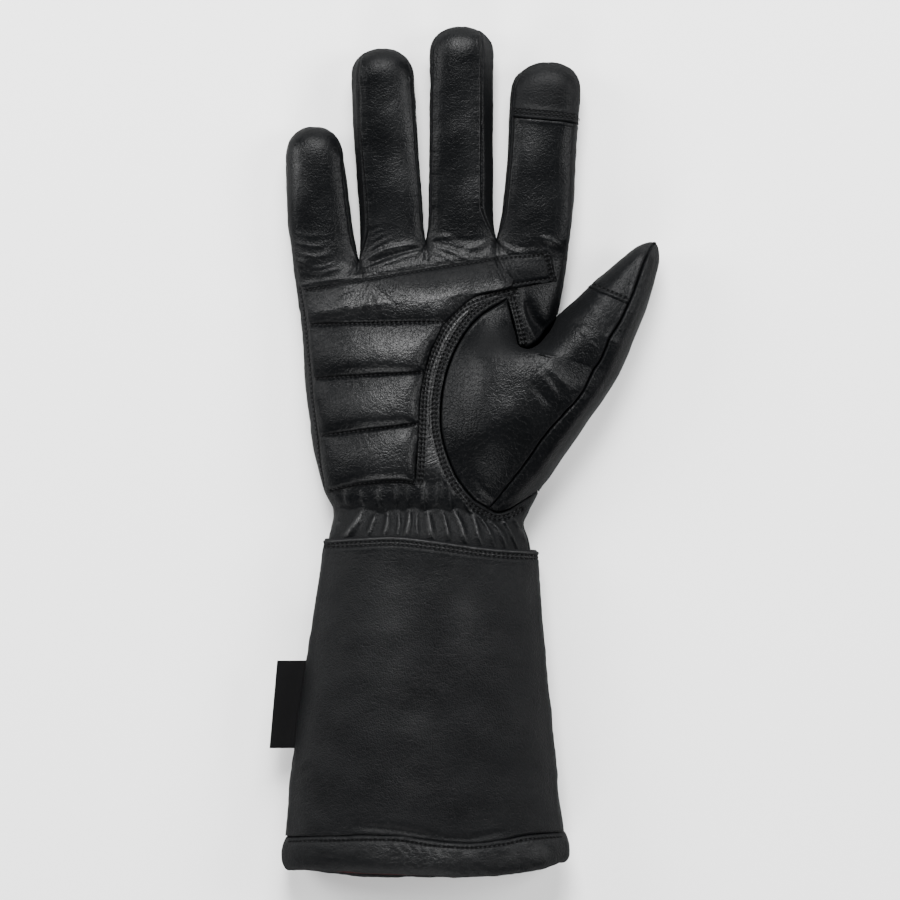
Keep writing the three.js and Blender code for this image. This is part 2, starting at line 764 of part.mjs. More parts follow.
function thumbPatches(palm) {
  const stations = thumbStations();
  const frontRows = stations.map((station) => steps(THUMB_FRONT_CELLS).map((c) => (
    thumbArch(station, station.seam * crowdedStart(c))
  )));
  const backRows = stations.map((station, i) => {
    const seam = frontRows[i][THUMB_FRONT_CELLS];
    return thumbBackRow(seam, station.outer, station.under, station.floor);
  });
  const root = frontRows[frontRows.length - 1];
  const heel = palm.heelRow;
  const seamLine = [
    root[THUMB_FRONT_CELLS],
    ...THUMB_SEAM.map((row) => point(row.x, row.y, row.z)),
    heel[0],
  ];
  THUMB_OUTER.forEach((row, i) => {
    const s = (i + 1) / SEAM_STEPS;
    const y = mix(BACK_EDGE_LEVEL, BACK_EDGE_WRIST, s);
    if (i === THUMB_OUTER.length - 1) {
      backRows.push([...heel, ...steps(THUMB_BACK_CELLS).slice(1).map(() => heel[heel.length - 1])]);
      return;
    }
    const outer = point(row.x, row.y, mix(THUMB_ROOT.side, handAt(BACK_EDGE_WRIST).side, s));
    backRows.push(thumbBackRow(seamLine[i + 1], outer, besideBackEdge(y), 0));
  });
  const opening = palm.besideOpening.map((row) => row[row.length - 1]);
  const strip = palm.tongue.map((row) => row[0]).reverse();
  const thenar = steps(SEAM_STEPS).map((b, j) => steps(THUMB_FRONT_CELLS).map((a, i) => {
    const p = point(0, 0, 0);
    const parts = [
      [root[i], 1 - b],
      [opening[i], b],
      [strip[j], 1 - a],
      [seamLine[j], a],
      [root[0], -(1 - a) * (1 - b)],
      [root[THUMB_FRONT_CELLS], -a * (1 - b)],
      [opening[0], -(1 - a) * b],
      [opening[THUMB_FRONT_CELLS], -a * b],
    ];
    parts.forEach(([corner, weight]) => p.addScaledVector(corner, weight));
    p.z += THENAR_BULGE * 16 * a * (1 - a) * b * (1 - b);
    return p;
  }));
  return { frontRows, backRows, thenar };
}

// Skin: patches of quads, each owned by a panel, with points merged where patches meet

class Skin {
  constructor() {
    this.points = [];
    this.found = new Map();
    this.faces = [];
    this.upright = new Set();
  }

  indexOf(p) {
    const key = [p.x, p.y, p.z].map((v) => Math.round(v * 1000)).join(' ');
    if (!this.found.has(key)) {
      this.found.set(key, this.points.length);
      this.points.push(p.clone());
    }
    if (p.upright) {
      this.upright.add(this.found.get(key));
    }
    return this.found.get(key);
  }

  // Rows run so that the step along a row, crossed with the step along a column, points out
  add(panel, rows) {
    for (let r = 0; r + 1 < rows.length; r += 1) {
      for (let c = 0; c + 1 < rows[r].length; c += 1) {
        const quad = [rows[r][c], rows[r + 1][c], rows[r + 1][c + 1], rows[r][c + 1]];
        const [a, b, d, e] = quad.map((p) => this.indexOf(p));
        [[a, b, d], [a, d, e]].forEach((face) => {
          if (new Set(face).size === 3) {
            this.faces.push({ panel, face });
          }
        });
      }
    }
  }

  faceNormal(face) {
    const [a, b, c] = face.map((i) => this.points[i]);
    return b.clone().sub(a).cross(c.clone().sub(a));
  }

  normals() {
    const all = this.points.map(() => point(0, 0, 0));
    this.faces.forEach(({ face }) => {
      const normal = this.faceNormal(face);
      face.forEach((i) => all[i].add(normal));
    });
    this.upright.forEach((i) => {
      all[i].z = 0;
    });
    all.forEach((normal) => normal.normalize());
    return all;
  }

  // Closed wall of one panel: its outer face, the same face moved in, and a rim along its edge.
  // Both panels at a seam split its rim along the same diagonals, so that the gap stays even.
  wall(panel, thickness) {
    const normals = this.normals();
    const faces = this.faces.filter((entry) => entry.panel === panel).map((entry) => entry.face);
    const directed = new Set();
    faces.forEach((face) => face.forEach((a, k) => directed.add(`${a} ${face[(k + 1) % 3]}`)));
    const rim = [];
    faces.forEach((face) => face.forEach((a, k) => {
      const b = face[(k + 1) % 3];
      if (!directed.has(`${b} ${a}`)) {
        rim.push([a, b]);
      }
    }));
    const used = [...new Set(faces.flat())];
    const onRim = new Set(rim.flat());
    const place = new Map();
    used.forEach((i) => {
      const p = this.points[i].clone();
      if (onRim.has(i)) {
        const inward = point(0, 0, 0);
        faces.filter((face) => face.includes(i)).forEach((face) => {
          const centre = point(0, 0, 0);
          face.forEach((j) => centre.addScaledVector(this.points[j], 1 / 3));
          inward.add(centre.sub(this.points[i]).normalize());
        });
        inward.addScaledVector(normals[i], -inward.dot(normals[i]));
        p.addScaledVector(inward.normalize(), SEAM_GAP / 2);
        p.z = Math.max(0, p.z);
      }
      place.set(i, p);
    });
    const number = new Map(used.map((i, k) => [i, k]));
    const count = used.length;
    const vertices = [];
    used.forEach((i) => vertices.push(...place.get(i).toArray()));
    used.forEach((i) => {
      vertices.push(...place.get(i).clone().addScaledVector(normals[i], -thickness).toArray());
    });
    const index = [];
    faces.forEach((face) => {
      const [a, b, c] = face.map((i) => number.get(i));
      index.push(a, b, c, a + count, c + count, b + count);
    });
    rim.forEach(([i, j]) => {
      const a = number.get(i);
      const b = number.get(j);
      if (i < j) {
        index.push(b, a, b + count, a, a + count, b + count);
      } else {
        index.push(b, a, a + count, b, a + count, b + count);
      }
    });
    return geometryOf(vertices, index);
  }
}

function geometryOf(vertices, index) {
  const geometry = new THREE.BufferGeometry();
  geometry.setAttribute('position', new THREE.Float32BufferAttribute(vertices, 3));
  geometry.setIndex(index);
  geometry.computeVertexNormals();
  return geometry;
}

// Solid between an upper and a lower grid of points of the same shape
function slab(top, bottom) {
  const rows = top.length;
  const columns = top[0].length;
  const count = rows * columns;
  const vertices = [];
  [top, bottom].forEach((grid) => grid.forEach((row) => row.forEach((p) => vertices.push(p.x, p.y, p.z))));
  const at = (r, c) => r * columns + c;
  const index = [];
  const quad = (a, b, c, d) => index.push(a, b, c, a, c, d);
  for (let r = 0; r + 1 < rows; r += 1) {
    for (let c = 0; c + 1 < columns; c += 1) {
      quad(at(r, c), at(r + 1, c), at(r + 1, c + 1), at(r, c + 1));
      quad(at(r, c) + count, at(r, c + 1) + count, at(r + 1, c + 1) + count, at(r + 1, c) + count);
    }
  }
  for (let r = 0; r + 1 < rows; r += 1) {
    quad(at(r, 0), at(r, 0) + count, at(r + 1, 0) + count, at(r + 1, 0));
    const c = columns - 1;
    quad(at(r + 1, c), at(r + 1, c) + count, at(r, c) + count, at(r, c));
  }
  for (let c = 0; c + 1 < columns; c += 1) {
    quad(at(0, c + 1), at(0, c + 1) + count, at(0, c) + count, at(0, c));
    const r = rows - 1;
    quad(at(r, c), at(r, c) + count, at(r, c + 1) + count, at(r, c + 1));
  }
  return geometryOf(vertices, index);
}

// Point over the palm, moved off it along its normal
function overPalm(x, y, distance) {
  const reach = 0.2;
  const slopeX = (palmHeight(x + reach, y) - palmHeight(x - reach, y)) / (2 * reach);
  const slopeY = (palmHeight(x, y + reach) - palmHeight(x, y - reach)) / (2 * reach);
  const normal = point(-slopeX, -slopeY, 1).normalize();
  return point(x, y, palmHeight(x, y)).addScaledVector(normal, distance);
}

// Padding across a sewn cell: low at both sides, full between them
const cellProfile = (c) => Math.pow(Math.sin(Math.PI * c), PAD_FULLNESS);

function palmPad() {
  const grids = [PAD_CLEARANCE, PAD_CLEARANCE + PAD_LEATHER].map((level, isTop) => (
    PAD_ROWS.map((row, r) => steps(PAD_COLUMNS).map((c) => {
      const share = mix(c, crowded(c), PAD_CROWDING);
      const sag = r === PAD_ROWS.length - 1 ? PAD_BOTTOM_SAG * Math.sin(Math.PI * c) : 0;
      const x = mix(row.leftX, row.rightX, share);
      const y = mix(row.leftY, row.rightY, share) + sag;
      return overPalm(x, y, level + isTop * row.padding * cellProfile(c));
    }))
  ));
  return slab(grids[1], grids[0]);
}

function indexTab() {
  const grids = [PAD_CLEARANCE, PAD_CLEARANCE + PAD_LEATHER].map((level, isTop) => (
    steps(TAB.rows).map((s) => steps(TAB.columns).map((c) => {
      const x = mix(mix(TAB.topLeft.x, TAB.topRight.x, c), mix(TAB.bottomLeft.x, TAB.bottomRight.x, c), s);
      const y = mix(mix(TAB.topLeft.y, TAB.topRight.y, c), mix(TAB.bottomLeft.y, TAB.bottomRight.y, c), s);
      const padding = TAB.padding * Math.sin(Math.PI * c) * Math.sin(Math.PI * s);
      return overPalm(x, y, level + isTop * padding);
    }))
  ));
  return slab(grids[1], grids[0]);
}

// Cuff

const cuffTopAt = through(CUFF_TOP_EDGE, 'share', 'y');
const hemLineAt = through(HEM_LINE, 'share', 'y');
const hemFrontAt = through(HEM_FRONT_BOTTOM, 'share', 'y');
const hemBackAt = through(HEM_BACK_BOTTOM, 'share', 'y');

function cuffPoint(share, y, heightOf) {
  const section = cuffAt(y);
  return point(mix(section.left, section.right, share), y, heightOf(section, 2 * share - 1));
}

function cuffRows(heightOf) {
  return steps(CUFF_ROWS).map((s) => steps(CUFF_CELLS).map((c) => {
    const share = crowded(c);
    return cuffPoint(share, mix(cuffTopAt(share), hemLineAt(share), s), heightOf);
  }));
}

// Point round the cuff at y: turn runs over the front from left to right, then back underneath
function roundCuff(turn, y) {
  const front = turn <= 0.5;
  return cuffPoint(crowded(front ? 2 * turn : 2 - 2 * turn), y, front ? upper : lower);
}

// Ring round the mouth with a closed outline, given as depth down the hem and distance out
function mouthRing(profile) {
  const vertices = [];
  const turns = steps(MOUTH_SEGMENTS).slice(0, -1);
  turns.forEach((turn) => {
    const front = turn <= 0.5;
    const share = crowded(front ? 2 * turn : 2 - 2 * turn);
    const start = hemLineAt(share);
    const end = front ? hemFrontAt(share) : hemBackAt(share);
    profile.forEach((row) => {
      const y = mix(start, end, row.down);
      const here = roundCuff(turn, y);
      const reach = 0.5 / MOUTH_SEGMENTS;
      const ahead = roundCuff((turn + reach) % 1, y);
      const behind = roundCuff((turn + 1 - reach) % 1, y);
      const along = ahead.sub(behind).normalize();
      vertices.push(
        here.x - along.z * row.out,
        here.y,
        Math.max(0, here.z + along.x * row.out),
      );
    });
  });
  const index = [];
  turns.forEach((_, t) => profile.forEach((row, k) => {
    const next = (t + 1) % MOUTH_SEGMENTS;
    const step = (k + 1) % profile.length;
    const [a, b] = [t * profile.length + k, next * profile.length + k];
    const [c, d] = [next * profile.length + step, t * profile.length + step];
    index.push(a, c, b, a, d, c);
  }));
  return geometryOf(vertices, index);
}

// Label ribbon, folded at its outer edge, with both ends sewn into the cuff's side seam
function sideLabel() {
  const ribbon = new Skin();
  const rows = steps(LABEL.rows).map((s) => {
    const y = mix(LABEL.top, LABEL.bottom, s);
    const section = cuffAt(y);
    const root = section.left - LABEL.rootGap;
    const outer = mix(LABEL.outerTop, LABEL.outerBottom, s);
    return LABEL_FOLD.map((f) => {
      const lift = LABEL.lift * f.reach * f.reach;
      return point(mix(root, outer, f.reach), y, section.side + lift + f.level * LABEL.halfThickness);
    });
  });
  ribbon.add('label', rows.map((row) => [...row].reverse()));
  return ribbon.wall('label', LABEL.ribbon);
}

// Assembly

const glove = new THREE.Group();

function addPiece(name, geometry, colour, roughness, metalness = 0) {
  const material = new THREE.MeshStandardMaterial({ color: colour, roughness, metalness });
  const mesh = new THREE.Mesh(geometry, material);
  mesh.name = name;
  glove.add(mesh);
}

const reversed = (rows) => rows.map((row) => [...row].reverse());

const hand = new Skin();
const fronts = FINGERS.map(fingerFrontRows);
const backs = FINGERS.map(fingerBackRows);
const joined = (fingerRowsList) => fingerRowsList.flatMap((rows, i) => {
  const base = rows[rows.length - 1];
  return i === 0 ? base : base.slice(1);
});
const palm = palmPatches(joined(fronts));
const back = backPatches(joined(backs));
const thumb = thumbPatches(palm);

const patchRow = FINGERS[3].patchRow;
fronts.forEach((rows, i) => {
  hand.add('palm_panel', i === 3 ? rows.slice(patchRow) : rows);
});
hand.add('index_tip_patch', fronts[3].slice(0, patchRow + 1));
[palm.underFingers, palm.besideOpening, palm.tongue, palm.wrist].forEach((rows) => {
  hand.add('palm_panel', rows);
});
backs.forEach((rows) => hand.add('hand_back', reversed(rows)));
[back.underFingers, back.besideThumb, back.wrist].forEach((rows) => {
  hand.add('hand_back', reversed(rows));
});
const FOURCHETTES = ['fourchette_little_ring', 'fourchette_ring_middle', 'fourchette_middle_index'];
FOURCHETTES.forEach((name, i) => hand.add(name, fourchetteRows(i)));
hand.add('thumb_tip_patch', thumb.frontRows.slice(0, THUMB_PATCH_ROWS + 1));
hand.add('thumb_front', thumb.frontRows.slice(THUMB_PATCH_ROWS));
hand.add('thumb_front', thumb.thenar);
hand.add('thumb_back', thumb.backRows);

const BLACK_LEATHER = 0x17181a;
['palm_panel', 'hand_back', ...FOURCHETTES, 'thumb_front', 'thumb_back'].forEach((name) => {
  addPiece(name, hand.wall(name, HAND_LEATHER), BLACK_LEATHER, 0.42);
});
['index_tip_patch', 'thumb_tip_patch'].forEach((name) => {
  addPiece(name, hand.wall(name, HAND_LEATHER), 0x1a1b1d, 0.5);
});
addPiece('palm_pad', palmPad(), 0x18191b, 0.4);
addPiece('index_tab', indexTab(), 0x18191b, 0.4);

const cuff = new Skin();
cuff.add('cuff_front', cuffRows(upper));
cuff.add('cuff_back', reversed(cuffRows(lower)));
['cuff_front', 'cuff_back'].forEach((name) => {
  addPiece(name, cuff.wall(name, CUFF_LEATHER), 0x16181a, 0.5);
});
addPiece('cuff_hem', mouthRing(HEM_PROFILE), 0x18191b, 0.48);
addPiece('lining_edge', mouthRing(LINING_PROFILE), 0x5a1018, 0.8);
addPiece('side_label', sideLabel(), 0x0c0c0d, 0.75);

export default glove;
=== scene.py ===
# Right-hand leather gauntlet glove, lying on the back of the hand with the palm up.
# Sizes are in millimetres until a mesh is made. X runs across the palm towards the thumb, Y from
# the cuff to the fingertips, and Z up from the table that the glove lies on.

import bpy
import numpy as np
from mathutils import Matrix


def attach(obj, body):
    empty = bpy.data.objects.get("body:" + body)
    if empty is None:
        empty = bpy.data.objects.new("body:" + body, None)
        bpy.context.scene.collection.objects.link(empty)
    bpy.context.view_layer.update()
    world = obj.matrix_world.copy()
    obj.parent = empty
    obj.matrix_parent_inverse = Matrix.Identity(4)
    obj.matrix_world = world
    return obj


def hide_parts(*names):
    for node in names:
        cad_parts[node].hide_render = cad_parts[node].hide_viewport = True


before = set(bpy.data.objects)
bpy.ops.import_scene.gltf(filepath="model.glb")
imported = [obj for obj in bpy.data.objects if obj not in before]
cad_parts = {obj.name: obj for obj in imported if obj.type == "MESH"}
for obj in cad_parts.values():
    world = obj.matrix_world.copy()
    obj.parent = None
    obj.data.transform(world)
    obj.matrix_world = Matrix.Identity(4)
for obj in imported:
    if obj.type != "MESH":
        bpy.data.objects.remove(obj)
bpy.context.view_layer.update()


# Studio
# A plain pale table, two soft lights beyond the fingertips, one at each side and one behind the
# cuff, and a long lens straight above the palm.

PICTURE_WIDTH = 391.3
PICTURE_CENTRE = (-6.5, 1.1)
LENS_DISTANCE = 3600
LENS_HEIGHT = 12
SENSOR = 36.0

camera_data = bpy.data.cameras.new("camera")
camera_data.sensor_width = SENSOR
camera_data.lens = SENSOR * LENS_DISTANCE / PICTURE_WIDTH
camera = bpy.data.objects.new("camera", camera_data)
camera.location = np.array([*PICTURE_CENTRE, LENS_DISTANCE + LENS_HEIGHT]) / 1000
bpy.context.scene.collection.objects.link(camera)
bpy.context.scene.camera = camera


class Wire:
    """A node's output. Python's operators on it, and on plain numbers, add Math nodes."""

    def __init__(self, shader, socket):
        self.shader = shader
        self.socket = socket

    def maths(self, operation, first, second):
        return self.shader.node("ShaderNodeMath", {"operation": operation}, {0: first, 1: second})

    def __add__(self, other):
        return self.maths("ADD", self, other)

    def __radd__(self, other):
        return self.maths("ADD", other, self)

    def __sub__(self, other):
        return self.maths("SUBTRACT", self, other)

    def __rsub__(self, other):
        return self.maths("SUBTRACT", other, self)

    def __mul__(self, other):
        return self.maths("MULTIPLY", self, other)

    def __rmul__(self, other):
        return self.maths("MULTIPLY", other, self)

    def shaped(self, operation):
        return self.maths(operation, self, 0.0)

    def at_most(self, other):
        return self.maths("MINIMUM", self, other)

    def at_least(self, other):
        return self.maths("MAXIMUM", self, other)


class Shader:
    """The node tree of one material."""

    def __init__(self, name):
        self.material = bpy.data.materials.new(name)
        self.material.use_nodes = True
        self.tree = self.material.node_tree
        self.tree.nodes.clear()

    def node(self, kind, settings=None, inputs=None, output=0):
        """A new node: its settings are made first, then the values or links of its sockets."""
        made = self.tree.nodes.new(kind)
        for key, value in (settings or {}).items():
            setattr(made, key, value)
        for key, value in (inputs or {}).items():
            if isinstance(value, Wire):
                self.tree.links.new(value.socket, made.inputs[key])
            else:
                made.inputs[key].default_value = value
        return Wire(self, made.outputs[output]) if made.outputs else made

    def smooth(self, value, low, high):
        """0 below low, 1 above high and an S-curve between them."""
        settings = {"interpolation_type": "SMOOTHSTEP"}
        return self.node("ShaderNodeMapRange", settings, {"Value": value, "From Min": low, "From Max": high})

    def tint(self, factor, first, second):
        """A colour between two, by a factor."""
        first, second = ((*c, 1) if isinstance(c, tuple) else c for c in (first, second))
        inputs = {0: factor, 6: first, 7: second}
        return self.node("ShaderNodeMix", {"data_type": "RGBA"}, inputs, 2)

    def place(self):
        """The place on the piece, in metres."""
        return self.node("ShaderNodeTexCoord", output=3)

    def noise(self, vector, scale, output=0, **more):
        """Soft noise of a scale: a number, or a colour with output 1."""
        return self.node("ShaderNodeTexNoise", None, {"Vector": vector, "Scale": scale, **more}, output)

    def attribute(self, name, output):
        """What the mesh says of each point: a vector with output 1, a number with output 2."""
        return self.node("ShaderNodeAttribute", {"attribute_name": name}, None, output)

    def parts(self, vector):
        """The three numbers of a vector."""
        first = self.node("ShaderNodeSeparateXYZ", None, {0: vector})
        return [Wire(self, number) for number in first.socket.node.outputs]

    def bump(self, height, strength, distance):
        """Normal of a surface raised by the height, in units of the distance."""
        inputs = {"Strength": strength, "Distance": distance, "Height": height}
        return self.node("ShaderNodeBump", None, inputs)

    def finish(self, **inputs):
        """A Principled surface with these inputs, and the material itself."""
        named = {key.replace("_", " "): value for key, value in inputs.items()}
        surface = self.node("ShaderNodeBsdfPrincipled", None, named)
        self.node("ShaderNodeOutputMaterial", None, {"Surface": surface})
        return self.material


TABLE_SIDE = 9000
TABLE_GAP = 0.4
ROOM_LIGHT = 0.12


def table_top(side, gap):
    """Flat square of a side, just under the glove."""
    corners = np.array([(-1, -1), (1, -1), (1, 1), (-1, 1)]) * side / 2
    mesh = bpy.data.meshes.new("table_top")
    mesh.from_pydata([(x / 1000, y / 1000, -gap / 1000) for x, y in corners], [], [(0, 1, 2, 3)])
    return mesh


floor = bpy.data.objects.new("floor", table_top(TABLE_SIDE, TABLE_GAP))
paper = Shader("white_paper")
floor.data.materials.append(paper.finish(Base_Color=(0.93, 0.93, 0.93, 1), Roughness=0.9))
bpy.context.scene.collection.objects.link(floor)

LIGHTS = [
    {"name": "over_fingers", "at": (-150, 850, 1350), "size": 500, "power": 24},
    {"name": "window", "at": (50, 1350, 1150), "size": 900, "power": 58},
    {"name": "little_finger_side", "at": (-1300, 500, 800), "size": 700, "power": 26},
    {"name": "thumb_side", "at": (1300, 300, 1000), "size": 700, "power": 26},
    {"name": "cuff_side", "at": (-300, -1600, 850), "size": 900, "power": 36},
]
for row in LIGHTS:
    light = bpy.data.lights.new(row["name"], "AREA")
    light.size = row["size"] / 1000
    light.energy = row["power"]
    lamp = bpy.data.objects.new(row["name"], light)
    place = np.array(row["at"], float) / 1000
    lamp.location = place
    flat = np.hypot(place[0], place[1])
    lamp.rotation_euler = (np.arctan2(flat, place[2]), 0, np.arctan2(place[1], place[0]) + np.pi / 2)
    bpy.context.scene.collection.objects.link(lamp)

world = bpy.data.worlds.new("room")
world.use_nodes = True
world.node_tree.nodes["Background"].inputs["Color"].default_value = (1, 1, 1, 1)
world.node_tree.nodes["Background"].inputs["Strength"].default_value = ROOM_LIGHT
bpy.context.scene.world = world


# Palm leather
# One piece of thin black goatskin: the fronts of the four fingers, the palm with the opening for
# the thumb, and the front of the wrist, where elastic inside gathers it. It is sewn inside out,
# so at each seam its edge rolls down into a groove.

ARCH_POWER = 2.4
FLOOR_POWER = 3.5
FLAT_SHARE = 1.06
CAP_POWER = 2.2
FINGER_SIDE = 9.5
FINGER_TOP = 19.5
FINGER_WALL = 4.8
WALL_START = 0.7
WALL_LENGTH = 70
CAP_LENGTH = 12.5
PATCH_SHARE = 0.183
PATCH_SLANT = 4.1
WEB_X = np.array([-74.8, -46.1, -17.0, 13.7, 45.2])
WEB_Y = np.array([82.8, 82.8, 90.9, 92.0, 92.0])


def through(keys, values):
    """Smooth curve through the values: a cubic between neighbouring keys, whose slope at each key
    is the rise over the run between the keys on its two sides."""
    keys = np.asarray(keys, float)
    values = np.asarray(values, float)
    if keys[0] > keys[-1]:
        keys, values = keys[::-1], values[::-1]
    last = len(keys) - 1
    before = np.maximum(np.arange(last + 1) - 1, 0)
    after = np.minimum(np.arange(last + 1) + 1, last)
    slopes = (values[after] - values[before]) / (keys[after] - keys[before])

    def curve(at):
        at = np.clip(at, keys[0], keys[-1])
        i = np.clip(np.searchsorted(keys, at, side="right") - 1, 0, last - 1)
        span = keys[i + 1] - keys[i]
        t = (at - keys[i]) / span
        start = (2 * t**3 - 3 * t**2 + 1) * values[i] + (t**3 - 2 * t**2 + t) * span * slopes[i]
        end = (3 * t**2 - 2 * t**3) * values[i + 1] + (t**3 - t**2) * span * slopes[i + 1]
        return start + end

    return curve


def path_through(points):
    """Smooth curve through points, as a function from 0 at the first to 1 at the last."""
    points = np.asarray(points, float)
    keys = np.linspace(0, 1, len(points))
    columns = [through(keys, column) for column in points.T]
    return lambda at: np.stack([column(at) for column in columns], -1)


def sampled(points, count):
    """Places along the smooth path through points, from its first to its last."""
    return path_through(points)(np.linspace(0, 1, count))


def row_steps(count):
    """Even steps from 0 to 1, one for each row of a grid."""
    return np.linspace(0, 1, count + 1)[:, None]


def column_steps(count):
    """Even steps from 0 to 1, one for each column of a grid."""
    return np.linspace(0, 1, count + 1)[None, :]


def section(keys, **columns):
    """The named columns of a table as functions of its key."""
    curves = {name: through(keys, values) for name, values in columns.items()}
    return lambda at: {name: curve(at) for name, curve in curves.items()}


def mix(a, b, t):
    """a + (b - a) t."""
    return a + (b - a) * t


def xyz(x, y, z):
    """Points, or other sets of three numbers, from arrays that are first brought to one shape."""
    return np.stack(np.broadcast_arrays(x, y, z), -1)


def hump(distance, middle, width):
    """exp(-((distance - middle) / width)^2): one at the middle, and less on both sides of it."""
    return np.exp(-(((distance - middle) / width) ** 2))


def round_profile(u, power):
    """(1 - |u|^p)^(1/p): zero at -1 and 1, one in the middle."""
    return np.maximum(0, 1 - np.minimum(1, np.abs(u)) ** power) ** (1 / power)


def flat_profile(u):
    """The round profile of the side that lies on the table, cut off flat there."""
    return np.minimum(1, FLAT_SHARE * round_profile(u, FLOOR_POWER))


def smoothstep(t):
    """3 t^2 - 2 t^3: an S-curve from 0 to 1."""
    t = np.clip(t, 0, 1)
    return t * t * (3 - 2 * t)


# Each finger: tip, the share of the half width at which its front seams lie, and its outline
FINGERS = [
    {"tip": 141.7, "seams": (1, 0.93), "y": [141, 128, 105, 95, 82.8],
     "left": [-77.6, -77.8, -77.0, -76.3, -74.8], "right": [-53.4, -52.7, -50.0, -48.7, -46.1]},
    {"tip": 175.7, "seams": (0.8, 0.95), "y": [175, 160, 136, 110, 95, 90.9, 82.8],
     "left": [-49.4, -49.1, -48.3, -46.0, -45.2, -45.3, -46.1],
     "right": [-22.6, -22.1, -20.7, -18.7, -17.8, -17.0, -16.6]},
    {"tip": 185.2, "seams": (0.95, 0.66), "y": [185, 153, 110, 99, 92, 90.9],
     "left": [-14.8, -15.2, -15.7, -15.9, -16.8, -17.0], "right": [12.0, 12.0, 12.0, 12.4, 13.7, 13.8]},
    {"tip": 169.6, "seams": (0.92, 1), "y": [169, 155, 131, 105, 97, 92],
     "left": [20.9, 20.0, 18.7, 16.3, 14.8, 13.7], "right": [51.2, 50.0, 48.1, 46.7, 45.9, 45.2]},
]
for finger in FINGERS:
    finger["left"] = through(finger["y"], finger["left"])
    finger["right"] = through(finger["y"], finger["right"])

hand_at = section(
    [92, 82.8, 66.6, 49, 31, 14, -3, -16.5, -21, -26, -31, -37, -48],
    left=[-75.6, -74.8, -72.6, -70.2, -69.4, -67.4, -64.8, -61.3, -58.9, -56.9, -57.6, -58.8, -59.4],
    right=[45.2, 44.1, 41.4, 38.3, 36.2, 34.2, 33.0, 32.2, 30.2, 27.0, 25.6, 26.8, 28.4],
    side=[9.5, 9.5, 10, 10, 10, 10.5, 11.5, 12.5, 13, 13.5, 14.5, 15.2, 15.6],
    top=[20.5, 21.5, 24, 26, 27.5, 29, 30, 30.5, 30.5, 30, 31.5, 33.4, 34],
    floor=[0, 0, 0, 0, 0, 0, 0, 0, 0, 0.6, 1.6, 2.3, 2.4],
)
OPENING = [(18.5, 66.6), (6.5, 59.3), (-1.3, 49.8), (-7.0, 38.0), (-10.0, 25.0), (-10.4, 12.0),
           (-8.3, 1.1), (-4.8, -8.5), (-0.4, -15.4), (4.8, -21.1), (10.4, -24.5)]
HEEL = [(10.4, -24.5), (14.0, -26.0), (18.5, -25.2), (22.8, -22.6), (27.6, -19.5), (30.6, -17.7),
        (32.2, -16.5)]
CROTCH = [(23.5, 46.3), (27.5, 45.6), (31.4, 47.9), (34.6, 51.4), (37.2, 54.8), (39.0, 57.5), (40.0, 59.5)]
WRIST_BOTTOM = -48
WRIST_FALL = 0.9
OPENING_TOP = 66.6

SEAM_REACH = 9.0
ROW_REACH = 6.0
MOST_PAIRS = 1500000
STITCH_PITCH = 2.0
STITCH_LENGTH = 1.7
THREAD_RADIUS = 0.24
THREAD_SINK = 0.3
THREAD_RINGS = 7
THREAD_SIDES = 6
ROW_GAP = 0.75
UNSEWN = (0.0, 9.0, 0.0)

CAP_ROWS = 15
FINGER_ROWS = 92
FINGER_COLUMNS = 44
WALL_COLUMNS = 6
BASE_ROWS = 28
OPENING_ROWS = 112
TONGUE_ROWS = 26
WRIST_ROWS = 44
FOLD_STEPS = 13


def finger_section(finger, y):
    """Width and heights of a finger at y. Over the cap everything shrinks by (1 - t^p)^(1/p)."""
    depth = finger["tip"] - y
    in_cap = np.clip(1 - depth / CAP_LENGTH, 0, 1)
    cap = np.maximum(0, 1 - in_cap**CAP_POWER) ** (1 / CAP_POWER)
    left, right = finger["left"](y), finger["right"](y)
    wall = FINGER_WALL * np.sqrt(np.clip((depth - WALL_START) / WALL_LENGTH, 0, 1)) * cap
    return {"centre": (left + right) / 2, "half": (right - left) / 2 * cap, "wall": wall,
            "crown": (FINGER_TOP - FINGER_SIDE) * cap, "belly": FINGER_SIDE * cap}


def finger_front(finger, y, u):
    """Front arch of a finger: side height + wall + (crown - wall) times the round profile."""
    s = finger_section(finger, y)
    z = FINGER_SIDE + s["wall"] + (s["crown"] - s["wall"]) * round_profile(u, ARCH_POWER)
    return xyz(s["centre"] + s["half"] * u, y, z)


def finger_back(finger, y, u):
    """Back of a finger: the same arch turned down and cut off flat where it lies."""
    s = finger_section(finger, y)
    z = FINGER_SIDE - s["wall"] - (s["belly"] - s["wall"]) * flat_profile(u)
    return xyz(s["centre"] + s["half"] * u, y, z)


def finger_side(finger, y, direction, level):
    """Upright side of a finger, from level 1 at the wall's top to -1 at its foot."""
    s = finger_section(finger, y)
    return xyz(s["centre"] + s["half"] * direction, y, FINGER_SIDE + s["wall"] * level)


def finger_grid(i, columns):
    """y of each row and column of a finger, and how far the rows are from tip (0) to web (1)."""
    finger = FINGERS[i]
    across = column_steps(columns)
    cap = CAP_LENGTH * (1 - np.cos(np.linspace(0, np.pi / 2, CAP_ROWS)))[:, None]
    share = row_steps(FINGER_ROWS)[1:]
    web = mix(WEB_Y[i], WEB_Y[i + 1], across)
    below = mix(finger["tip"] - CAP_LENGTH, web, share)
    if i == 3:
        slant = np.interp(share, [0, PATCH_SHARE, 0.46], [0, 1, 0])
        below = below - PATCH_SLANT * (across - 0.5) * slant
    y = np.concatenate([finger["tip"] - cap + 0 * across, below])
    depth = finger["tip"] - y[:, :1]
    to_web = np.concatenate([0 * cap, share])
    return y, depth, to_web


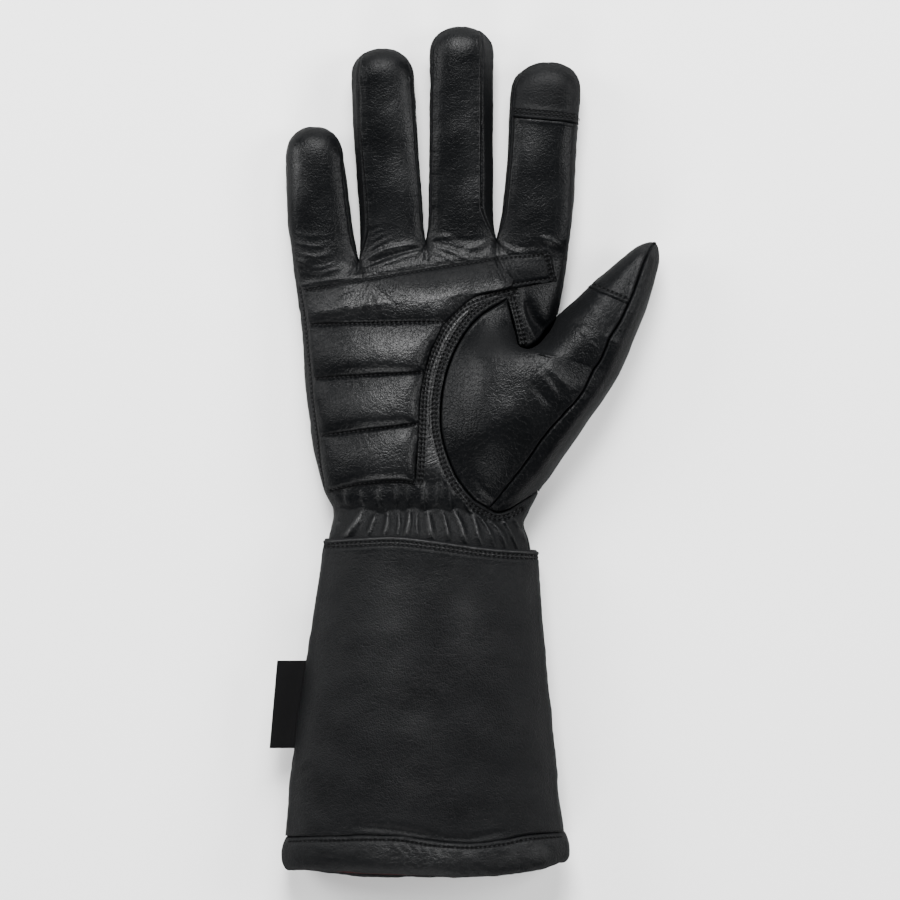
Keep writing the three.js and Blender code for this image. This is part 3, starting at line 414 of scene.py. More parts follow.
def seam_angle(inset, depth, to_web):
    """Angle round the finger's arch at which a front seam lies: out at the side at the tip and at
    the web, and in from it between them."""
    inward = smoothstep((depth - WALL_START) / 7) * (1 - smoothstep((to_web - 0.8) / 0.2))
    return np.arccos(mix(1, inset, inward))


def finger_arch(i, y, arch, start, end, wall_columns, wall_end):
    """Arch of a finger between two angles round it. The outer fingers' outer columns run along the
    upright side, from the seam of front and back at level 0 to the level given as its end."""
    finger = FINGERS[i]
    columns = y.shape[1] - 1
    k = np.arange(columns + 1)
    first = wall_columns if i == 0 else 0
    last = columns - (wall_columns if i == 3 else 0)
    c = np.clip((k - first) / (last - first), 0, 1)[None, :]
    grid = arch(finger, y, -np.cos(mix(start, end, c)))
    level = wall_end * np.minimum(k, columns - k)[None, :] / wall_columns
    if i == 0:
        grid[:, :first] = finger_side(finger, y[:, :first], -1, level[:, :first])
    if i == 3:
        grid[:, last + 1:] = finger_side(finger, y[:, last + 1:], 1, level[:, last + 1:])
    return grid


def finger_front_grid(i):
    """Front of a finger from its left seam to its right seam."""
    y, depth, to_web = finger_grid(i, FINGER_COLUMNS)
    left, right = (seam_angle(inset, depth, to_web) for inset in FINGERS[i]["seams"])
    return finger_arch(i, y, finger_front, left, np.pi - right, WALL_COLUMNS, 1)


def upper(s, u):
    """Height of the hand's upper side: side + (top - side) times the round profile."""
    return s["side"] + (s["top"] - s["side"]) * round_profile(u, ARCH_POWER)


def lower(s, u):
    """Height of its underside: the same, turned down and cut off flat."""
    return s["side"] - (s["side"] - np.maximum(0, s["floor"])) * flat_profile(u)


def over_hand(x, y, of_hand, of_finger):
    """Height of the hand's surface: the finger bases at the web line, fading into the hand."""
    i = np.clip(np.searchsorted(WEB_X, x) - 1, 0, 3)
    u = np.clip(2 * (x - WEB_X[i]) / (WEB_X[i + 1] - WEB_X[i]) - 1, -1, 1)
    web = mix(WEB_Y[i], WEB_Y[i + 1], (u + 1) / 2)
    to_web = np.clip((y - OPENING_TOP) / (web - OPENING_TOP), 0, 1) ** 3

    def hand_height(at):
        s = hand_at(at)
        return of_hand(s, 2 * (x - s["left"]) / (s["right"] - s["left"]) - 1)

    base = np.zeros(np.broadcast(x, y).shape)
    for k, finger in enumerate(FINGERS):
        base = np.where(i == k, of_finger(finger, web, u)[..., 2], base)
    return hand_height(y) + (base - hand_height(web)) * to_web


def palm_height(x, y):
    """Height of the palm's surface."""
    return over_hand(x, y, upper, finger_front)


def on_palm(x, y):
    """Place on the palm."""
    return xyz(x, y, palm_height(x, y))


def share_at(x, y):
    """Share of the hand's width at which a place lies, from 0 at the left to 1 at the right."""
    s = hand_at(y)
    return (x - s["left"]) / (s["right"] - s["left"])


def x_at(share, y):
    """x at a share of the hand's width."""
    s = hand_at(y)
    return mix(s["left"], s["right"], share)


def to_seam(grid):
    """The grid with its first columns brought down to the height of the side seam."""
    k = np.arange(WALL_COLUMNS)[None, :] / WALL_COLUMNS
    grid[:, :WALL_COLUMNS, 2] = mix(hand_at(grid[:, :WALL_COLUMNS, 1])["side"], grid[:, :WALL_COLUMNS, 2], k)
    return grid


def to_both_seams(grid):
    """The grid with its first and its last columns brought down."""
    to_seam(grid[:, ::-1])
    return to_seam(grid)


def crowded_start(t):
    """(1 - cos(pi t / 2))^0.85, whose steps are small near 0."""
    return (1 - np.cos(np.pi * t / 2)) ** 0.85


def crowded_end(t):
    """sin(pi t / 2), whose steps are small near 1."""
    return np.sin(np.pi * t / 2)


def crowded(t):
    """(1 - cos(pi t)) / 2, whose steps are small near 0 and 1."""
    return 0.5 - 0.5 * np.cos(np.pi * t)


def web_row(fingers):
    """The last rows of the four fingers as one row along the web, with each shared point once."""
    return np.concatenate([grid[-1, (1 if i else 0):] for i, grid in enumerate(fingers)])


def lowered(top, end, share, rows, on_surface, fall=1):
    """Patch from a row of points down to y = end, where the columns lie at the given shares of the
    hand's width. Step s of its rows is s^fall of the way down. Both sides end at the side seam."""
    s = row_steps(rows)
    y = mix(top[:, 1], end, s**fall)
    grid = to_both_seams(on_surface(x_at(mix(share_at(top[:, 0], top[:, 1]), share, s), y), y))
    grid[0] = top
    return grid


def palm_grids():
    """Patches of the palm below the fingers: under the fingers, beside the thumb opening, the
    tongue over the thumb's crotch, and the wrist. Each starts at the last row of the one above."""
    fingers = [finger_front_grid(i) for i in range(4)]
    base = web_row(fingers)
    columns = len(base) - 1
    hole = columns * 3 // 4
    k = np.arange(columns + 1)
    hole_share = share_at(OPENING[0][0], OPENING_TOP)
    level = np.where(k <= hole, hole_share * crowded_start(np.minimum(k / hole, 1)),
                     mix(hole_share, 1, crowded_end(np.maximum(k - hole, 0) / (columns - hole))))
    under = lowered(base, OPENING_TOP, level, BASE_ROWS, on_palm)

    edge = sampled(OPENING, OPENING_ROWS + 1)
    c = crowded_start(k[: hole + 1] / hole)[None, :]
    y = edge[:, 1:] + 0 * c
    beside = to_seam(on_palm(x_at(share_at(edge[:, :1], edge[:, 1:]) * c, y), y))
    beside[0] = under[-1, : hole + 1]

    above = under[-1, hole:]
    edge = sampled(CROTCH, columns - hole + 1)
    x, y = (mix(above[:, axis], edge[:, axis], row_steps(TONGUE_ROWS)) for axis in (0, 1))
    x[:, -1] = x_at(1, y[:, -1])
    tongue = on_palm(x, y)
    tongue[:, -1, 2] = hand_at(y[:, -1])["side"]
    tongue[0] = above

    heel = on_palm(*sampled(HEEL, columns - hole + 1).T)
    heel[-1] = (x_at(1, HEEL[-1][1]), HEEL[-1][1], hand_at(HEEL[-1][1])["side"])
    top = np.concatenate([beside[-1], heel[1:]])
    wrist = lowered(top, WRIST_BOTTOM, crowded(k / columns), WRIST_ROWS, on_palm, WRIST_FALL)
    return fingers, under, beside, tongue, wrist, heel


def triangles(a, b, c, d):
    """Two triangles for each square of the corners a, b, c and d."""
    return [np.stack([a, b, c], -1).reshape(-1, 3), np.stack([a, c, d], -1).reshape(-1, 3)]


def squares(number):
    """Triangles of a grid of numbered points."""
    return triangles(number[:-1, :-1], number[1:, :-1], number[1:, 1:], number[:-1, 1:])


def joined(patches):
    """Points and triangles of patches that share their borders: each square of a patch gives two
    triangles, points within a hundredth of a millimetre become one, and empty triangles go."""
    points = np.concatenate([patch.reshape(-1, 3) for patch in patches])
    cells = np.round(points * 100).astype(np.int64)
    _, first, merged = np.unique(cells, axis=0, return_index=True, return_inverse=True)
    merged = merged.reshape(-1)
    faces = []
    start = 0
    for patch in patches:
        rows, columns = patch.shape[:2]
        faces += squares(merged[start:start + rows * columns].reshape(rows, columns))
        start += rows * columns
    faces = np.concatenate(faces)
    whole = (faces[:, 0] != faces[:, 1]) & (faces[:, 1] != faces[:, 2]) & (faces[:, 0] != faces[:, 2])
    return points[first], faces[whole]


def normals_of(points, faces):
    """Normal at each point: the sum of its triangles' cross products, made one long."""
    a, b, c = (points[faces[:, k]] for k in range(3))
    cross = np.cross(b - a, c - a)
    total = np.stack([
        sum(np.bincount(faces[:, k], cross[:, axis], len(points)) for k in range(3)) for axis in range(3)
    ], -1)
    return total / np.maximum(np.linalg.norm(total, axis=1, keepdims=True), 1e-12)


def edges_of(faces):
    """Every edge once, and whether it lies on the border."""
    pairs = np.sort(np.concatenate([faces[:, [0, 1]], faces[:, [1, 2]], faces[:, [2, 0]]]), axis=1)
    edges, count = np.unique(pairs, axis=0, return_counts=True)
    return edges, count == 1


def relaxed(points, faces, rounds, held=None):
    """Points, or their moves, taken halfway to the mean of their neighbours, a few times. Border
    points and held points stay."""
    edges, border = edges_of(faces)
    free = np.ones(len(points), bool) if held is None else ~held
    free[edges[border].ravel()] = False
    ends = np.concatenate([edges, edges[:, ::-1]])
    count = np.maximum(np.bincount(ends[:, 0], minlength=len(points)), 1)[:, None]
    for _ in range(rounds):
        middle = np.stack([
            np.bincount(ends[:, 0], points[ends[:, 1], axis], len(points)) for axis in range(3)
        ], -1) / count
        points = np.where(free[:, None], (points + middle) / 2, points)
    return points


def near_side(points, path, reach):
    """Distance of each point from a path of straight pieces, no more than reach, the length along
    the path to its nearest place, and 1 or -1 on the path's left or right as seen from above. The
    path is in plan or in space. Points are taken in parts, to save memory."""
    path = np.asarray(path, float)
    pieces = np.diff(path, axis=0)
    long = np.maximum(np.linalg.norm(pieces, axis=1), 1e-9)
    reached = np.concatenate([[0], np.cumsum(long)])[:-1]
    places = points[:, : path.shape[1]]
    close = np.all((places > path.min(0) - reach) & (places < path.max(0) + reach), axis=1)
    chosen = np.flatnonzero(close)
    distance = np.full(len(points), float(reach))
    along = np.zeros(len(points))
    side = np.ones(len(points))
    for part in np.array_split(chosen, max(1, len(chosen) * len(pieces) // MOST_PAIRS)):
        offset = places[part][:, None] - path[None, :-1]
        t = np.clip((offset * pieces).sum(-1) / long**2, 0, 1)
        gap = np.linalg.norm(offset - t[..., None] * pieces, axis=-1)
        best = gap.argmin(1)
        row = np.arange(len(part))
        distance[part] = np.minimum(gap[row, best], reach)
        along[part] = reached[best] + t[row, best] * long[best]
        arm = offset[row, best]
        side[part] = np.where(pieces[best, 0] * arm[:, 1] > pieces[best, 1] * arm[:, 0], 1, -1)
    return distance, along, side


def near(points, path, reach):
    """Distance from a path and the length along it, without the side."""
    return near_side(points, path, reach)[:2]


def nearest_of(points, paths):
    """Distance from the nearest of several paths, no more than SEAM_REACH, and the length along
    that path."""
    distance = np.full(len(points), SEAM_REACH)
    along = np.zeros(len(points))
    for path in paths:
        d, s = near(points, path, SEAM_REACH)
        along = np.where(d < distance, s, along)
        distance = np.minimum(d, distance)
    return distance, along


def folded(points, folds):
    """What a table of folds adds, of height or of gloss: each one's amount times
    exp(-(distance / width)^2), fading out towards both of its ends."""
    height = np.zeros(len(points))
    for row in folds:
        path = sampled(np.reshape(row[:6], (3, 2)), FOLD_STEPS)
        width, rise = row[6:]
        distance, along = near(points, path, 3 * width)
        share = along / np.linalg.norm(np.diff(path, axis=0), axis=1).sum()
        fade = np.sqrt(np.maximum(0, np.sin(np.pi * np.clip(share, 0.02, 0.98))))
        height += rise * hump(distance, 0, width) * fade * (distance < 3 * width)
    return height


def waves(points, size, seed, count=26):
    """Even, soft unevenness: the sum of cosines in random directions, about one in height, whose
    lengths are near the size given."""
    chance = np.random.default_rng(seed)
    direction = chance.normal(size=(count, 3))
    direction /= np.linalg.norm(direction, axis=1, keepdims=True)
    turns = 2 * np.pi / (size * chance.uniform(0.7, 1.6, count))
    phase = chance.uniform(0, 2 * np.pi, count)
    return np.cos(points @ (direction * turns[:, None]).T + phase).sum(1) / np.sqrt(count / 2)


def rolled(distance):
    """Edge of a sewn panel: a soft roll 1.2 mm in, then down into the seam."""
    return 0.22 * hump(distance, 1.2, 0.7) - 0.75 * hump(distance, 0, 0.5)


def small_gathers(distance, along, size, seed, rise, fade):
    """Waves along a seam that fade away from it: rise times exp(-distance / fade) times waves."""
    line = xyz(along, 0, 0)
    return rise * np.exp(-distance / fade) * waves(line, size, seed, 12)


def stronger(pucker, along, distance, strength):
    """The seam attribute, replaced wherever another run of wrinkles is stronger."""
    return np.where(strength[:, None] > pucker[:, 2:], xyz(along, distance, strength), pucker)


def sewing(points, lines):
    """For each point the place along the nearest sewn line, the distance from its middle, negative
    on its right, and 1 or 2 for its rows of stitches, fading to 0 beside it. Also the shallow
    valley that the thread pulls."""
    found = np.tile(UNSEWN, (len(points), 1))
    closest = np.full(len(points), ROW_REACH)
    for path, rows in lines:
        distance, along, side = near_side(points, path, ROW_REACH)
        beside = distance - ROW_GAP * (rows - 1)
        here = beside < closest
        fade = np.clip((2.3 - beside) / 0.4, 0, 1)
        found[here] = xyz(along, distance * side, rows * fade)[here]
        closest = np.minimum(closest, beside)
    valley = -0.22 * hump(np.maximum(closest, 0), 0, 0.9) * (closest < ROW_REACH)
    return found, valley + 0.12 * hump(closest, 1.7, 0.7)


def seamed(height, points, seams, lines, seed):
    """The height with rolled seams, small gathers beside them and sewn lines added to it. Also the
    seam attribute, which is the length along a seam, the distance from it and the strength of the
    wrinkles, and the sewing attribute."""
    distance, along = nearest_of(points, seams)
    height = height + rolled(distance) + small_gathers(distance, along, 4.2, seed, 0.08, 2.4)
    sewn, valley = sewing(points, lines)
    return height + valley, xyz(along, distance, 0.5 * np.exp(-distance / 3.2)), sewn


# Grain of the leather: how many of each kind to a metre, their heights in millimetres, and how far
# the pattern is bent, in metres
WARP_SCALE = 420.0
WARP = (0.0016, 0.0016, 0.0016)
PEBBLE_SCALE = 1300.0
PEBBLE_HEIGHT = 0.105
NET_SCALE = 430.0
NET_HEIGHT = 0.04
GRIT_SCALE = 2200.0
GRIT_HEIGHT = 0.045
BROAD_SCALE = 55.0
WRINKLE_HEIGHT = 0.6
ROW_DEPTH = 0.08
HOLE_DEPTH = 0.6
# Finish of the leather
SHEEN_ROUGHNESS = 0.36
LEATHER_SPECULAR = 0.08


def leather(name, colour, roughness, grain=1.0, depth=(1.0, 1.0, 0.0, 1.0)):
    """Black dyed goatskin: a fine pebbled grain in a net of hair-fine creases, wrinkles that run
    away from the seams, sewn rows drawn in at each hole, and a finish that is duller at the
    sides. The grain's depth goes from the first number of depth to the second between two places
    along Y in metres. All heights are in millimetres."""
    shader = Shader(name)
    place = shader.place()
    warp = shader.noise(place, WARP_SCALE, 1, Detail=2.0)
    warped = shader.node("ShaderNodeVectorMath", {"operation": "MULTIPLY_ADD"},
                         {0: warp, 1: WARP, 2: place})
    pebble, net = (
        shader.node("ShaderNodeTexVoronoi", {"feature": kind}, {"Vector": warped, "Scale": scale * grain})
        for kind, scale in (("F1", PEBBLE_SCALE), ("DISTANCE_TO_EDGE", NET_SCALE))
    )
    grit = shader.noise(place, GRIT_SCALE * grain, Detail=2.0)
    broad = shader.noise(place, BROAD_SCALE, Detail=4.0)
    low, high, start, end = depth
    relief = low + (high - low) * shader.smooth(shader.parts(place)[1], start, end)
    creases = shader.smooth(net, 0.0, 0.09)
    pebbles = ((0.5 - pebble) * PEBBLE_HEIGHT + grit * GRIT_HEIGHT + creases * NET_HEIGHT) * relief

    along, off, strength = shader.parts(shader.attribute("pucker", 1))
    line = shader.node("ShaderNodeCombineXYZ", None, {0: along * 0.85, 1: off * 0.16, 2: 0.0})
    wrinkles = shader.noise(line, 1.0, Detail=2.5, Roughness=0.6)

    sewn_along, sewn_off, rows = shader.parts(shader.attribute("sewn", 1))
    middle = (rows - 1.0).at_least(0.0).at_most(1.0) * ROW_GAP
    beside = (sewn_off.shaped("ABSOLUTE") - middle).shaped("ABSOLUTE")
    hole = (sewn_along * (2 * np.pi / STITCH_PITCH)).shaped("COSINE") * 0.5 + 0.5
    sewn_row = (beside * beside * -6.0).shaped("EXPONENT") * rows.at_most(1.0)
    drawn_in = sewn_row * (ROW_DEPTH + hole * HOLE_DEPTH)
    height = pebbles + (wrinkles - 0.5) * strength * WRINKLE_HEIGHT - drawn_in
    normal = shader.bump(height, 1.0, 0.001)

    dull = shader.attribute("dull", 2)
    shine = shader.attribute("shine", 2)
    worn = (broad - 0.5) * 0.22 + pebble * 0.08 - shine.at_most(0.0) * 1.2
    gloss = roughness + worn + dull * 0.4 + sewn_row * 0.45
    bright, plain, groove_shade = (tuple(share * c for c in colour) for share in (1.3, 0.7, 0.15))
    shade = shader.tint(broad, plain, bright)
    # Painted shade: the colour is darkened along the sewn rows, most of all at each hole, as shade in the
    # grooves
    dark = shader.tint(sewn_row * (0.45 + hole * 0.5), shade, groove_shade)
    coat = shine.at_least(0.0) * (0.6 + broad * 0.8) * (1.0 - sewn_row)
    return shader.finish(Base_Color=dark, Roughness=gloss, Normal=normal, Coat_Normal=normal,
                         Coat_Weight=coat, Coat_Roughness=SHEEN_ROUGHNESS,
                         Specular_IOR_Level=LEATHER_SPECULAR)


def piece(name, points, faces, material, nodes, wall=None, pucker=None, sewn=None, shine=None,
          smooth=True):
    """Mesh object of points in millimetres and triangles, riding on the glove. The leather is
    duller where it turns down at the sides."""
    mesh = bpy.data.meshes.new(name)
    mesh.from_pydata((points / 1000).tolist(), [], faces.tolist())
    mesh.polygons.foreach_set("use_smooth", np.full(len(faces), smooth))
    dull = smoothstep((0.86 - normals_of(points, faces)[:, 2]) / 0.5)
    pucker = np.zeros((len(points), 3)) if pucker is None else pucker
    sewn = np.tile(UNSEWN, (len(points), 1)) if sewn is None else sewn
    gloss = np.zeros(len(points)) if shine is None else shine * (1 - dull)
    for label, values in (("pucker", pucker), ("sewn", sewn)):
        mesh.attributes.new(label, "FLOAT_VECTOR", "POINT").data.foreach_set("vector", values.ravel())
    for label, values in (("dull", dull), ("shine", gloss)):
        mesh.attributes.new(label, "FLOAT", "POINT").data.foreach_set("value", values)
    mesh.materials.append(material)
    made = bpy.data.objects.new(name, mesh)
    bpy.context.scene.collection.objects.link(made)
    if wall:
        sheet = made.modifiers.new("wall", "SOLIDIFY")
        sheet.thickness = wall / 1000
        sheet.offset = -1
        sheet.use_even_offset = False
    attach(made, "root")
    if nodes:
        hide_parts(*nodes)
    return made


def stitches(name, lines, points, normals):
    """Sewing thread along sewn lines on a finished surface. Each stitch is a short arched tube
    between two holes, whose place and slope are the mean of the surface's nearest points."""
    centre, run, up = [], [], []
    top = normals[:, 2] > 0.05
    for path, rows in lines:
        path = np.asarray(path, float)[:, :2]
        length = np.concatenate([[0], np.cumsum(np.linalg.norm(np.diff(path, axis=0), axis=1))])
        at = np.arange(STITCH_PITCH / 2, length[-1], STITCH_PITCH)
        before, spots, after = (
            np.stack([np.interp(at + step, length, column) for column in path.T], -1)
            for step in (-0.4, 0, 0.4)
        )
        ahead = (after - before) / np.linalg.norm(after - before, axis=1, keepdims=True)
        across = np.stack([-ahead[:, 1], ahead[:, 0]], -1)
        for shift in ((0,) if rows == 1 else (-ROW_GAP, ROW_GAP)):
            spot = spots + shift * across
            inside = (points[:, :2] > spot.min(0) - 4) & (points[:, :2] < spot.max(0) + 4)
            close = np.flatnonzero(top & np.all(inside, axis=1))
            gap = np.linalg.norm(points[close, :2][None] - spot[:, None], axis=-1)
            best = np.argsort(gap, axis=1)[:, :4]
            nearest = np.take_along_axis(gap, best, 1)
            held = nearest[:, 0] < 1.2
            weight = 1 / (nearest + 0.1) ** 2
            weight /= weight.sum(1, keepdims=True)
            height = (points[close, 2][best] * weight).sum(1)
            slope = (normals[close][best] * weight[..., None]).sum(1)
            centre.append(np.column_stack([spot, height])[held])
            run.append(np.column_stack([ahead, 0 * at])[held])
            up.append(slope[held])
    centre, run, up = (np.concatenate(rows) for rows in (centre, run, up))
    up /= np.linalg.norm(up, axis=1, keepdims=True)
    run -= (run * up).sum(1, keepdims=True) * up
    run /= np.linalg.norm(run, axis=1, keepdims=True)
    side = np.cross(up, run)
    t = np.linspace(-1, 1, THREAD_RINGS)
    lift = THREAD_RADIUS * (1.2 - 1.8 * np.abs(t) ** 2.6) - THREAD_SINK
    girth = THREAD_RADIUS * (1 - 0.5 * np.abs(t) ** 3)
    turn = np.linspace(0, 2 * np.pi, THREAD_SIDES + 1)[:-1]
    reach = t * STITCH_LENGTH / 2
    spine = centre[:, None] + run[:, None] * reach[None, :, None] + up[:, None] * lift[None, :, None]
    ring = (side[:, None, None] * np.cos(turn)[None, None, :, None]
            + up[:, None, None] * np.sin(turn)[None, None, :, None]) * girth[None, :, None, None]
    tubes = spine[:, :, None] + ring
    count, rings, sides = tubes.shape[:3]
    number = np.arange(count * rings * sides).reshape(count, rings, sides)
    turned = np.roll(number, -1, axis=2)
    faces = triangles(number[:, :-1], turned[:, :-1], turned[:, 1:], number[:, 1:])
    for end, order in ((number[:, 0], -1), (number[:, -1], 1)):
        faces += [np.stack([end[:, 0], end[:, k], end[:, k + 1]][::order], -1) for k in range(1, sides - 1)]
    return piece(name, tubes.reshape(-1, 3), np.concatenate(faces), thread, ())


def fine_cloth(name, colour, kind, settings, inputs, strength, distance, **finish):
    """Thread, cloth or ribbon of one colour, with a fine bump from a texture of the given kind."""
    shader = Shader(name)
    texture = shader.node(kind, settings, {"Vector": shader.place(), **inputs})
    normal = shader.bump(texture, strength, distance)
    return shader.finish(Base_Color=colour, Normal=normal, **finish)


thread = fine_cloth("black_thread", (0.004, 0.0042, 0.0048, 1), "ShaderNodeTexNoise", None,
                    {"Scale": 3000.0}, 0.5, 0.0001, Roughness=0.5, Specular_IOR_Level=0.14)
HAND_COLOUR = (0.0013, 0.0015, 0.0018)
hand_leather = leather("hand_leather", HAND_COLOUR, 0.3, depth=(1.0, 0.7, 0.086, 0.106))

# Folds of the palm leather at the finger roots and the wrist: three plan points, half width, height
WEB_FOLDS = [
    (-44.5, 83, -32.5, 88.5, -18, 91, 1.0, 0.9),
    (-43, 81, -30.5, 86, -18, 89, 0.7, -0.7),
    (-42, 80, -31.5, 83, -19.5, 87, 0.9, 0.5),
    (-45.5, 81, -47, 78.5, -49, 76, 0.5, -0.4),
    (-45, 81, -44.5, 78.5, -44, 75.5, 0.5, -0.4),
    (-44, 81, -41.5, 78.5, -39.5, 76, 0.5, -0.4),
    (-43, 81, -38.5, 78.5, -35, 76.5, 0.5, -0.35),
    (-47, 81, -49.5, 78.5, -52.5, 75.5, 0.5, -0.35),
    (-41.5, 85, -36.5, 88, -31, 90, 0.6, 0.35),
    (-41.5, 88, -37.5, 90.5, -32.5, 93, 0.6, 0.35),
    (-41.5, 91, -38, 93.5, -33.5, 95, 0.6, 0.3),
    (-41.5, 94, -38.5, 96, -35, 97, 0.6, 0.25),
    (-41.5, 97.5, -38.5, 99, -36, 100, 0.6, 0.2),
    (-72.5, 83, -65, 80, -56, 82, 1.0, 0.45),
    (-71.5, 79.5, -63, 78, -54.5, 80, 0.9, 0.5),
    (-72, 86.5, -65, 85, -58.5, 86.5, 0.9, 0.3),
    (-73, 91, -66.5, 89.5, -60.5, 90, 0.9, 0.25),
    (-73.5, 95.5, -68, 94, -62, 94.5, 0.9, 0.2),
    (-15.5, 91.5, -12, 93.5, -5.5, 93.5, 0.9, 0.7),
    (-15, 90, -5.5, 87, 4, 82.5, 0.8, 0.5),
    (-14.5, 87.5, -9.5, 85.5, -4, 82, 0.7, 0.35),
    (-12.5, 90.5, -3, 88.5, 6.5, 86.5, 0.7, -0.35),
    (-16.5, 89.5, -16, 86.5, -16, 82.5, 0.5, -0.35),
    (-17.5, 89.5, -19, 86, -21.5, 83, 0.6, -0.35),
    (12.5, 92.5, 16, 88.5, 20.5, 84, 0.5, -0.45),
    (14, 93, 18.5, 89, 24, 86.5, 0.8, 0.55),
    (15, 92.5, 20.5, 90, 25.5, 89.5, 0.6, -0.3),
    (11, 92.5, 5.5, 89.5, -0.5, 87.5, 0.9, 0.5),
    (11.5, 91, 7, 87, 2, 83.5, 0.6, -0.4),
    (10, 93.5, 2.5, 92, -4.5, 93, 1.1, -0.3),
    (32.5, 93.5, 37, 92, 42, 89.5, 1.2, 0.6),
    (24.5, 70, 26.5, 58.5, 30.5, 48.5, 1.0, 0.7),
    (26.5, 67, 30, 58, 36, 51, 2.6, -2.2),
]
WRIST_FOLDS = [
    (-54.5, -25.0, -55.5, -31, -58.0, -38.0, 1.5, 1.0),
    (-44.0, -24.0, -47, -30.5, -52.5, -38.0, 1.9, 2.0),
    (-38.5, -26, -40, -31, -42.5, -37.5, 1.2, 1.3),
    (-33.5, -24.5, -33.5, -30.5, -35.5, -37.5, 1.1, 1.6),
    (-29.0, -25.5, -28.4, -30.5, -29.5, -37.5, 0.9, 1.3),
    (-24.4, -24.0, -24.2, -29.5, -26, -38, 1.2, 1.8),
    (-20.6, -25.5, -20.9, -31.0, -20.5, -38, 0.8, 1.1),
    (-16.6, -24.5, -15.4, -30.5, -14.0, -39, 1.5, 1.7),
    (-10.0, -24.5, -8.2, -31.5, -6.5, -40, 0.9, 1.2),
    (-5.5, -24, -2.0, -31, 0.5, -40.5, 1.3, 1.6),
    (-3.5, -16, 3.0, -26.5, 7.0, -41, 1.0, 1.5),
    (2.5, -23.5, 9.5, -32.5, 13, -42, 0.9, 1.0),
    (10.5, -29, 15.5, -35.0, 18.5, -43, 1.1, 1.1),
    (15, -27, 19, -33.5, 23.5, -43.5, 0.7, 1.3),
    (19, -26, 23.5, -33, 28, -42.5, 0.7, 1.2),
    (-52.0, -17.0, -51.0, -20.0, -50.5, -23.5, 1.1, 0.9),
    (-44.6, -16.6, -44.4, -20.0, -44.5, -23.5, 0.9, 0.8),
    (-37.0, -15.6, -37.2, -19.5, -37.0, -24.0, 1.2, 1.0),
    (-29.8, -15.0, -29.6, -19.5, -30, -23.5, 0.9, 0.9),
    (-24.6, -15.0, -24.8, -19.0, -24.6, -23.5, 0.7, 0.7),
    (-17.8, -13.5, -17.5, -18.5, -17.5, -24, 1.0, 1.3),
    (-11.5, -6.0, -11.0, -15.0, -12.5, -24.0, 1.3, 1.0),
    (-7.0, -11.5, -6.0, -18.5, -6.5, -24.5, 0.9, 1.1),
    (-2.0, -14.0, 0.0, -19.5, 2.0, -25.5, 0.8, 0.8),
]
# Rubbed and dull places of the fingers: three plan points, half width, and gloss or less than it
FINGER_GLOSS = [
    (-72.5, 134, -72.0, 122, -70.5, 110, 3.5, 0.28),
    (-31.0, 166, -28.5, 138, -26.8, 108, 5.0, 0.18),
    (-46.0, 166, -46.5, 156, -46.3, 144, 2.5, 0.12),
    (-10.5, 179, -6.0, 178, -2.0, 176, 3.5, 0.12),
    (3.5, 165, 3.5, 135, 3.0, 100, 4.5, 0.16),
    (26.5, 148, 27.5, 139, 28.0, 128, 4.5, 0.2),
    (30.0, 120, 31.0, 112, 31.0, 104, 6.0, 0.08),
    (-45.0, 172, -36.0, 175, -27.0, 172, 4.5, -0.25),
    (-11.0, 184, -1.0, 185, 9.0, 183, 3.5, -0.25),
    (-76.0, 138, -66.0, 141, -56.0, 138, 4.0, -0.2),
]
BAND_OUTER = [(20.4, 71.5), (6.5, 67.2), (-2.2, 62.8), (-9.1, 55.0), (-14.3, 44.6), (-17.8, 34.1),
              (-19.2, 22.8), (-19.6, 13.3), (-20.4, -3.3), (-21.0, -13.0)]
PAD_TOP = [(-70.0, 71.5), (-45.7, 75.4), (-24.8, 79.3), (-5.7, 82.4), (15.2, 84.6), (35.2, 86.3)]
WRIST_LINE = [(-57.0, -22.6), (-51.5, -24.2), (-47.5, -24.6), (-43.5, -23.2), (-39.5, -25.6), (-34.5, -26.6),
              (-30.5, -24.2), (-26.5, -25.6), (-22.5, -23.6), (-17.5, -25.4), (-12.5, -23.8), (-7.5, -25.6),
              (-3.0, -24.0), (2.2, -26.5)]

finger_fronts, under_fingers, beside_opening, tongue, palm_wrist, heel = palm_grids()
PATCH_ROW = CAP_ROWS + int(round(PATCH_SHARE * FINGER_ROWS))


def moved_in(path, distance):
    """Plan path moved sideways by a distance, to the right of its direction."""
    path = np.asarray(path, float)[:, :2]
    run = np.gradient(path, axis=0)
    run /= np.linalg.norm(run, axis=1, keepdims=True)
    return path + distance * np.stack([run[:, 1], -run[:, 0]], -1)


opening_edge = sampled(OPENING, 60)
outer_edge = sampled(BAND_OUTER, 50)
pad_top_line = sampled(PAD_TOP, 40)
PAD_LEFT = [(-71.6, 71.3), (-70.2, 62.6), (-69.1, 55.4), (-68.1, 44.4), (-66.9, 32.0), (-65.9, 20.8),
            (-64.3, 7.2), (-63.1, -4.4), (-61.2, -15.0)]
# How far the double rows of stitches lie from the edges beside them
OPENING_ROW = 2.7
BAND_ROW = 1.6
TONGUE_ROW = 2.3
HEEL_ROW = 2.5
palm_lines = [
    (moved_in(opening_edge, OPENING_ROW), 2),
    (moved_in(outer_edge, -BAND_ROW), 2),
    (moved_in(tongue[::-1, 0], TONGUE_ROW), 2),
    (moved_in(heel[::-1][22:], -HEEL_ROW), 2),
    (sampled(PAD_LEFT, 40), 1),
]


# Relief of the palm: the band round the thumb opening, the fold above the pad and the wrist
BAND_REACH = 16.0
BAND_SWELL = 0.8
BAND_LIFT = 0.55
PAD_TOP_REACH = 18.0
PAD_TOP_ROLL = 0.3
WRIST_DENT = 0.45
WRIST_SHARE = 0.8


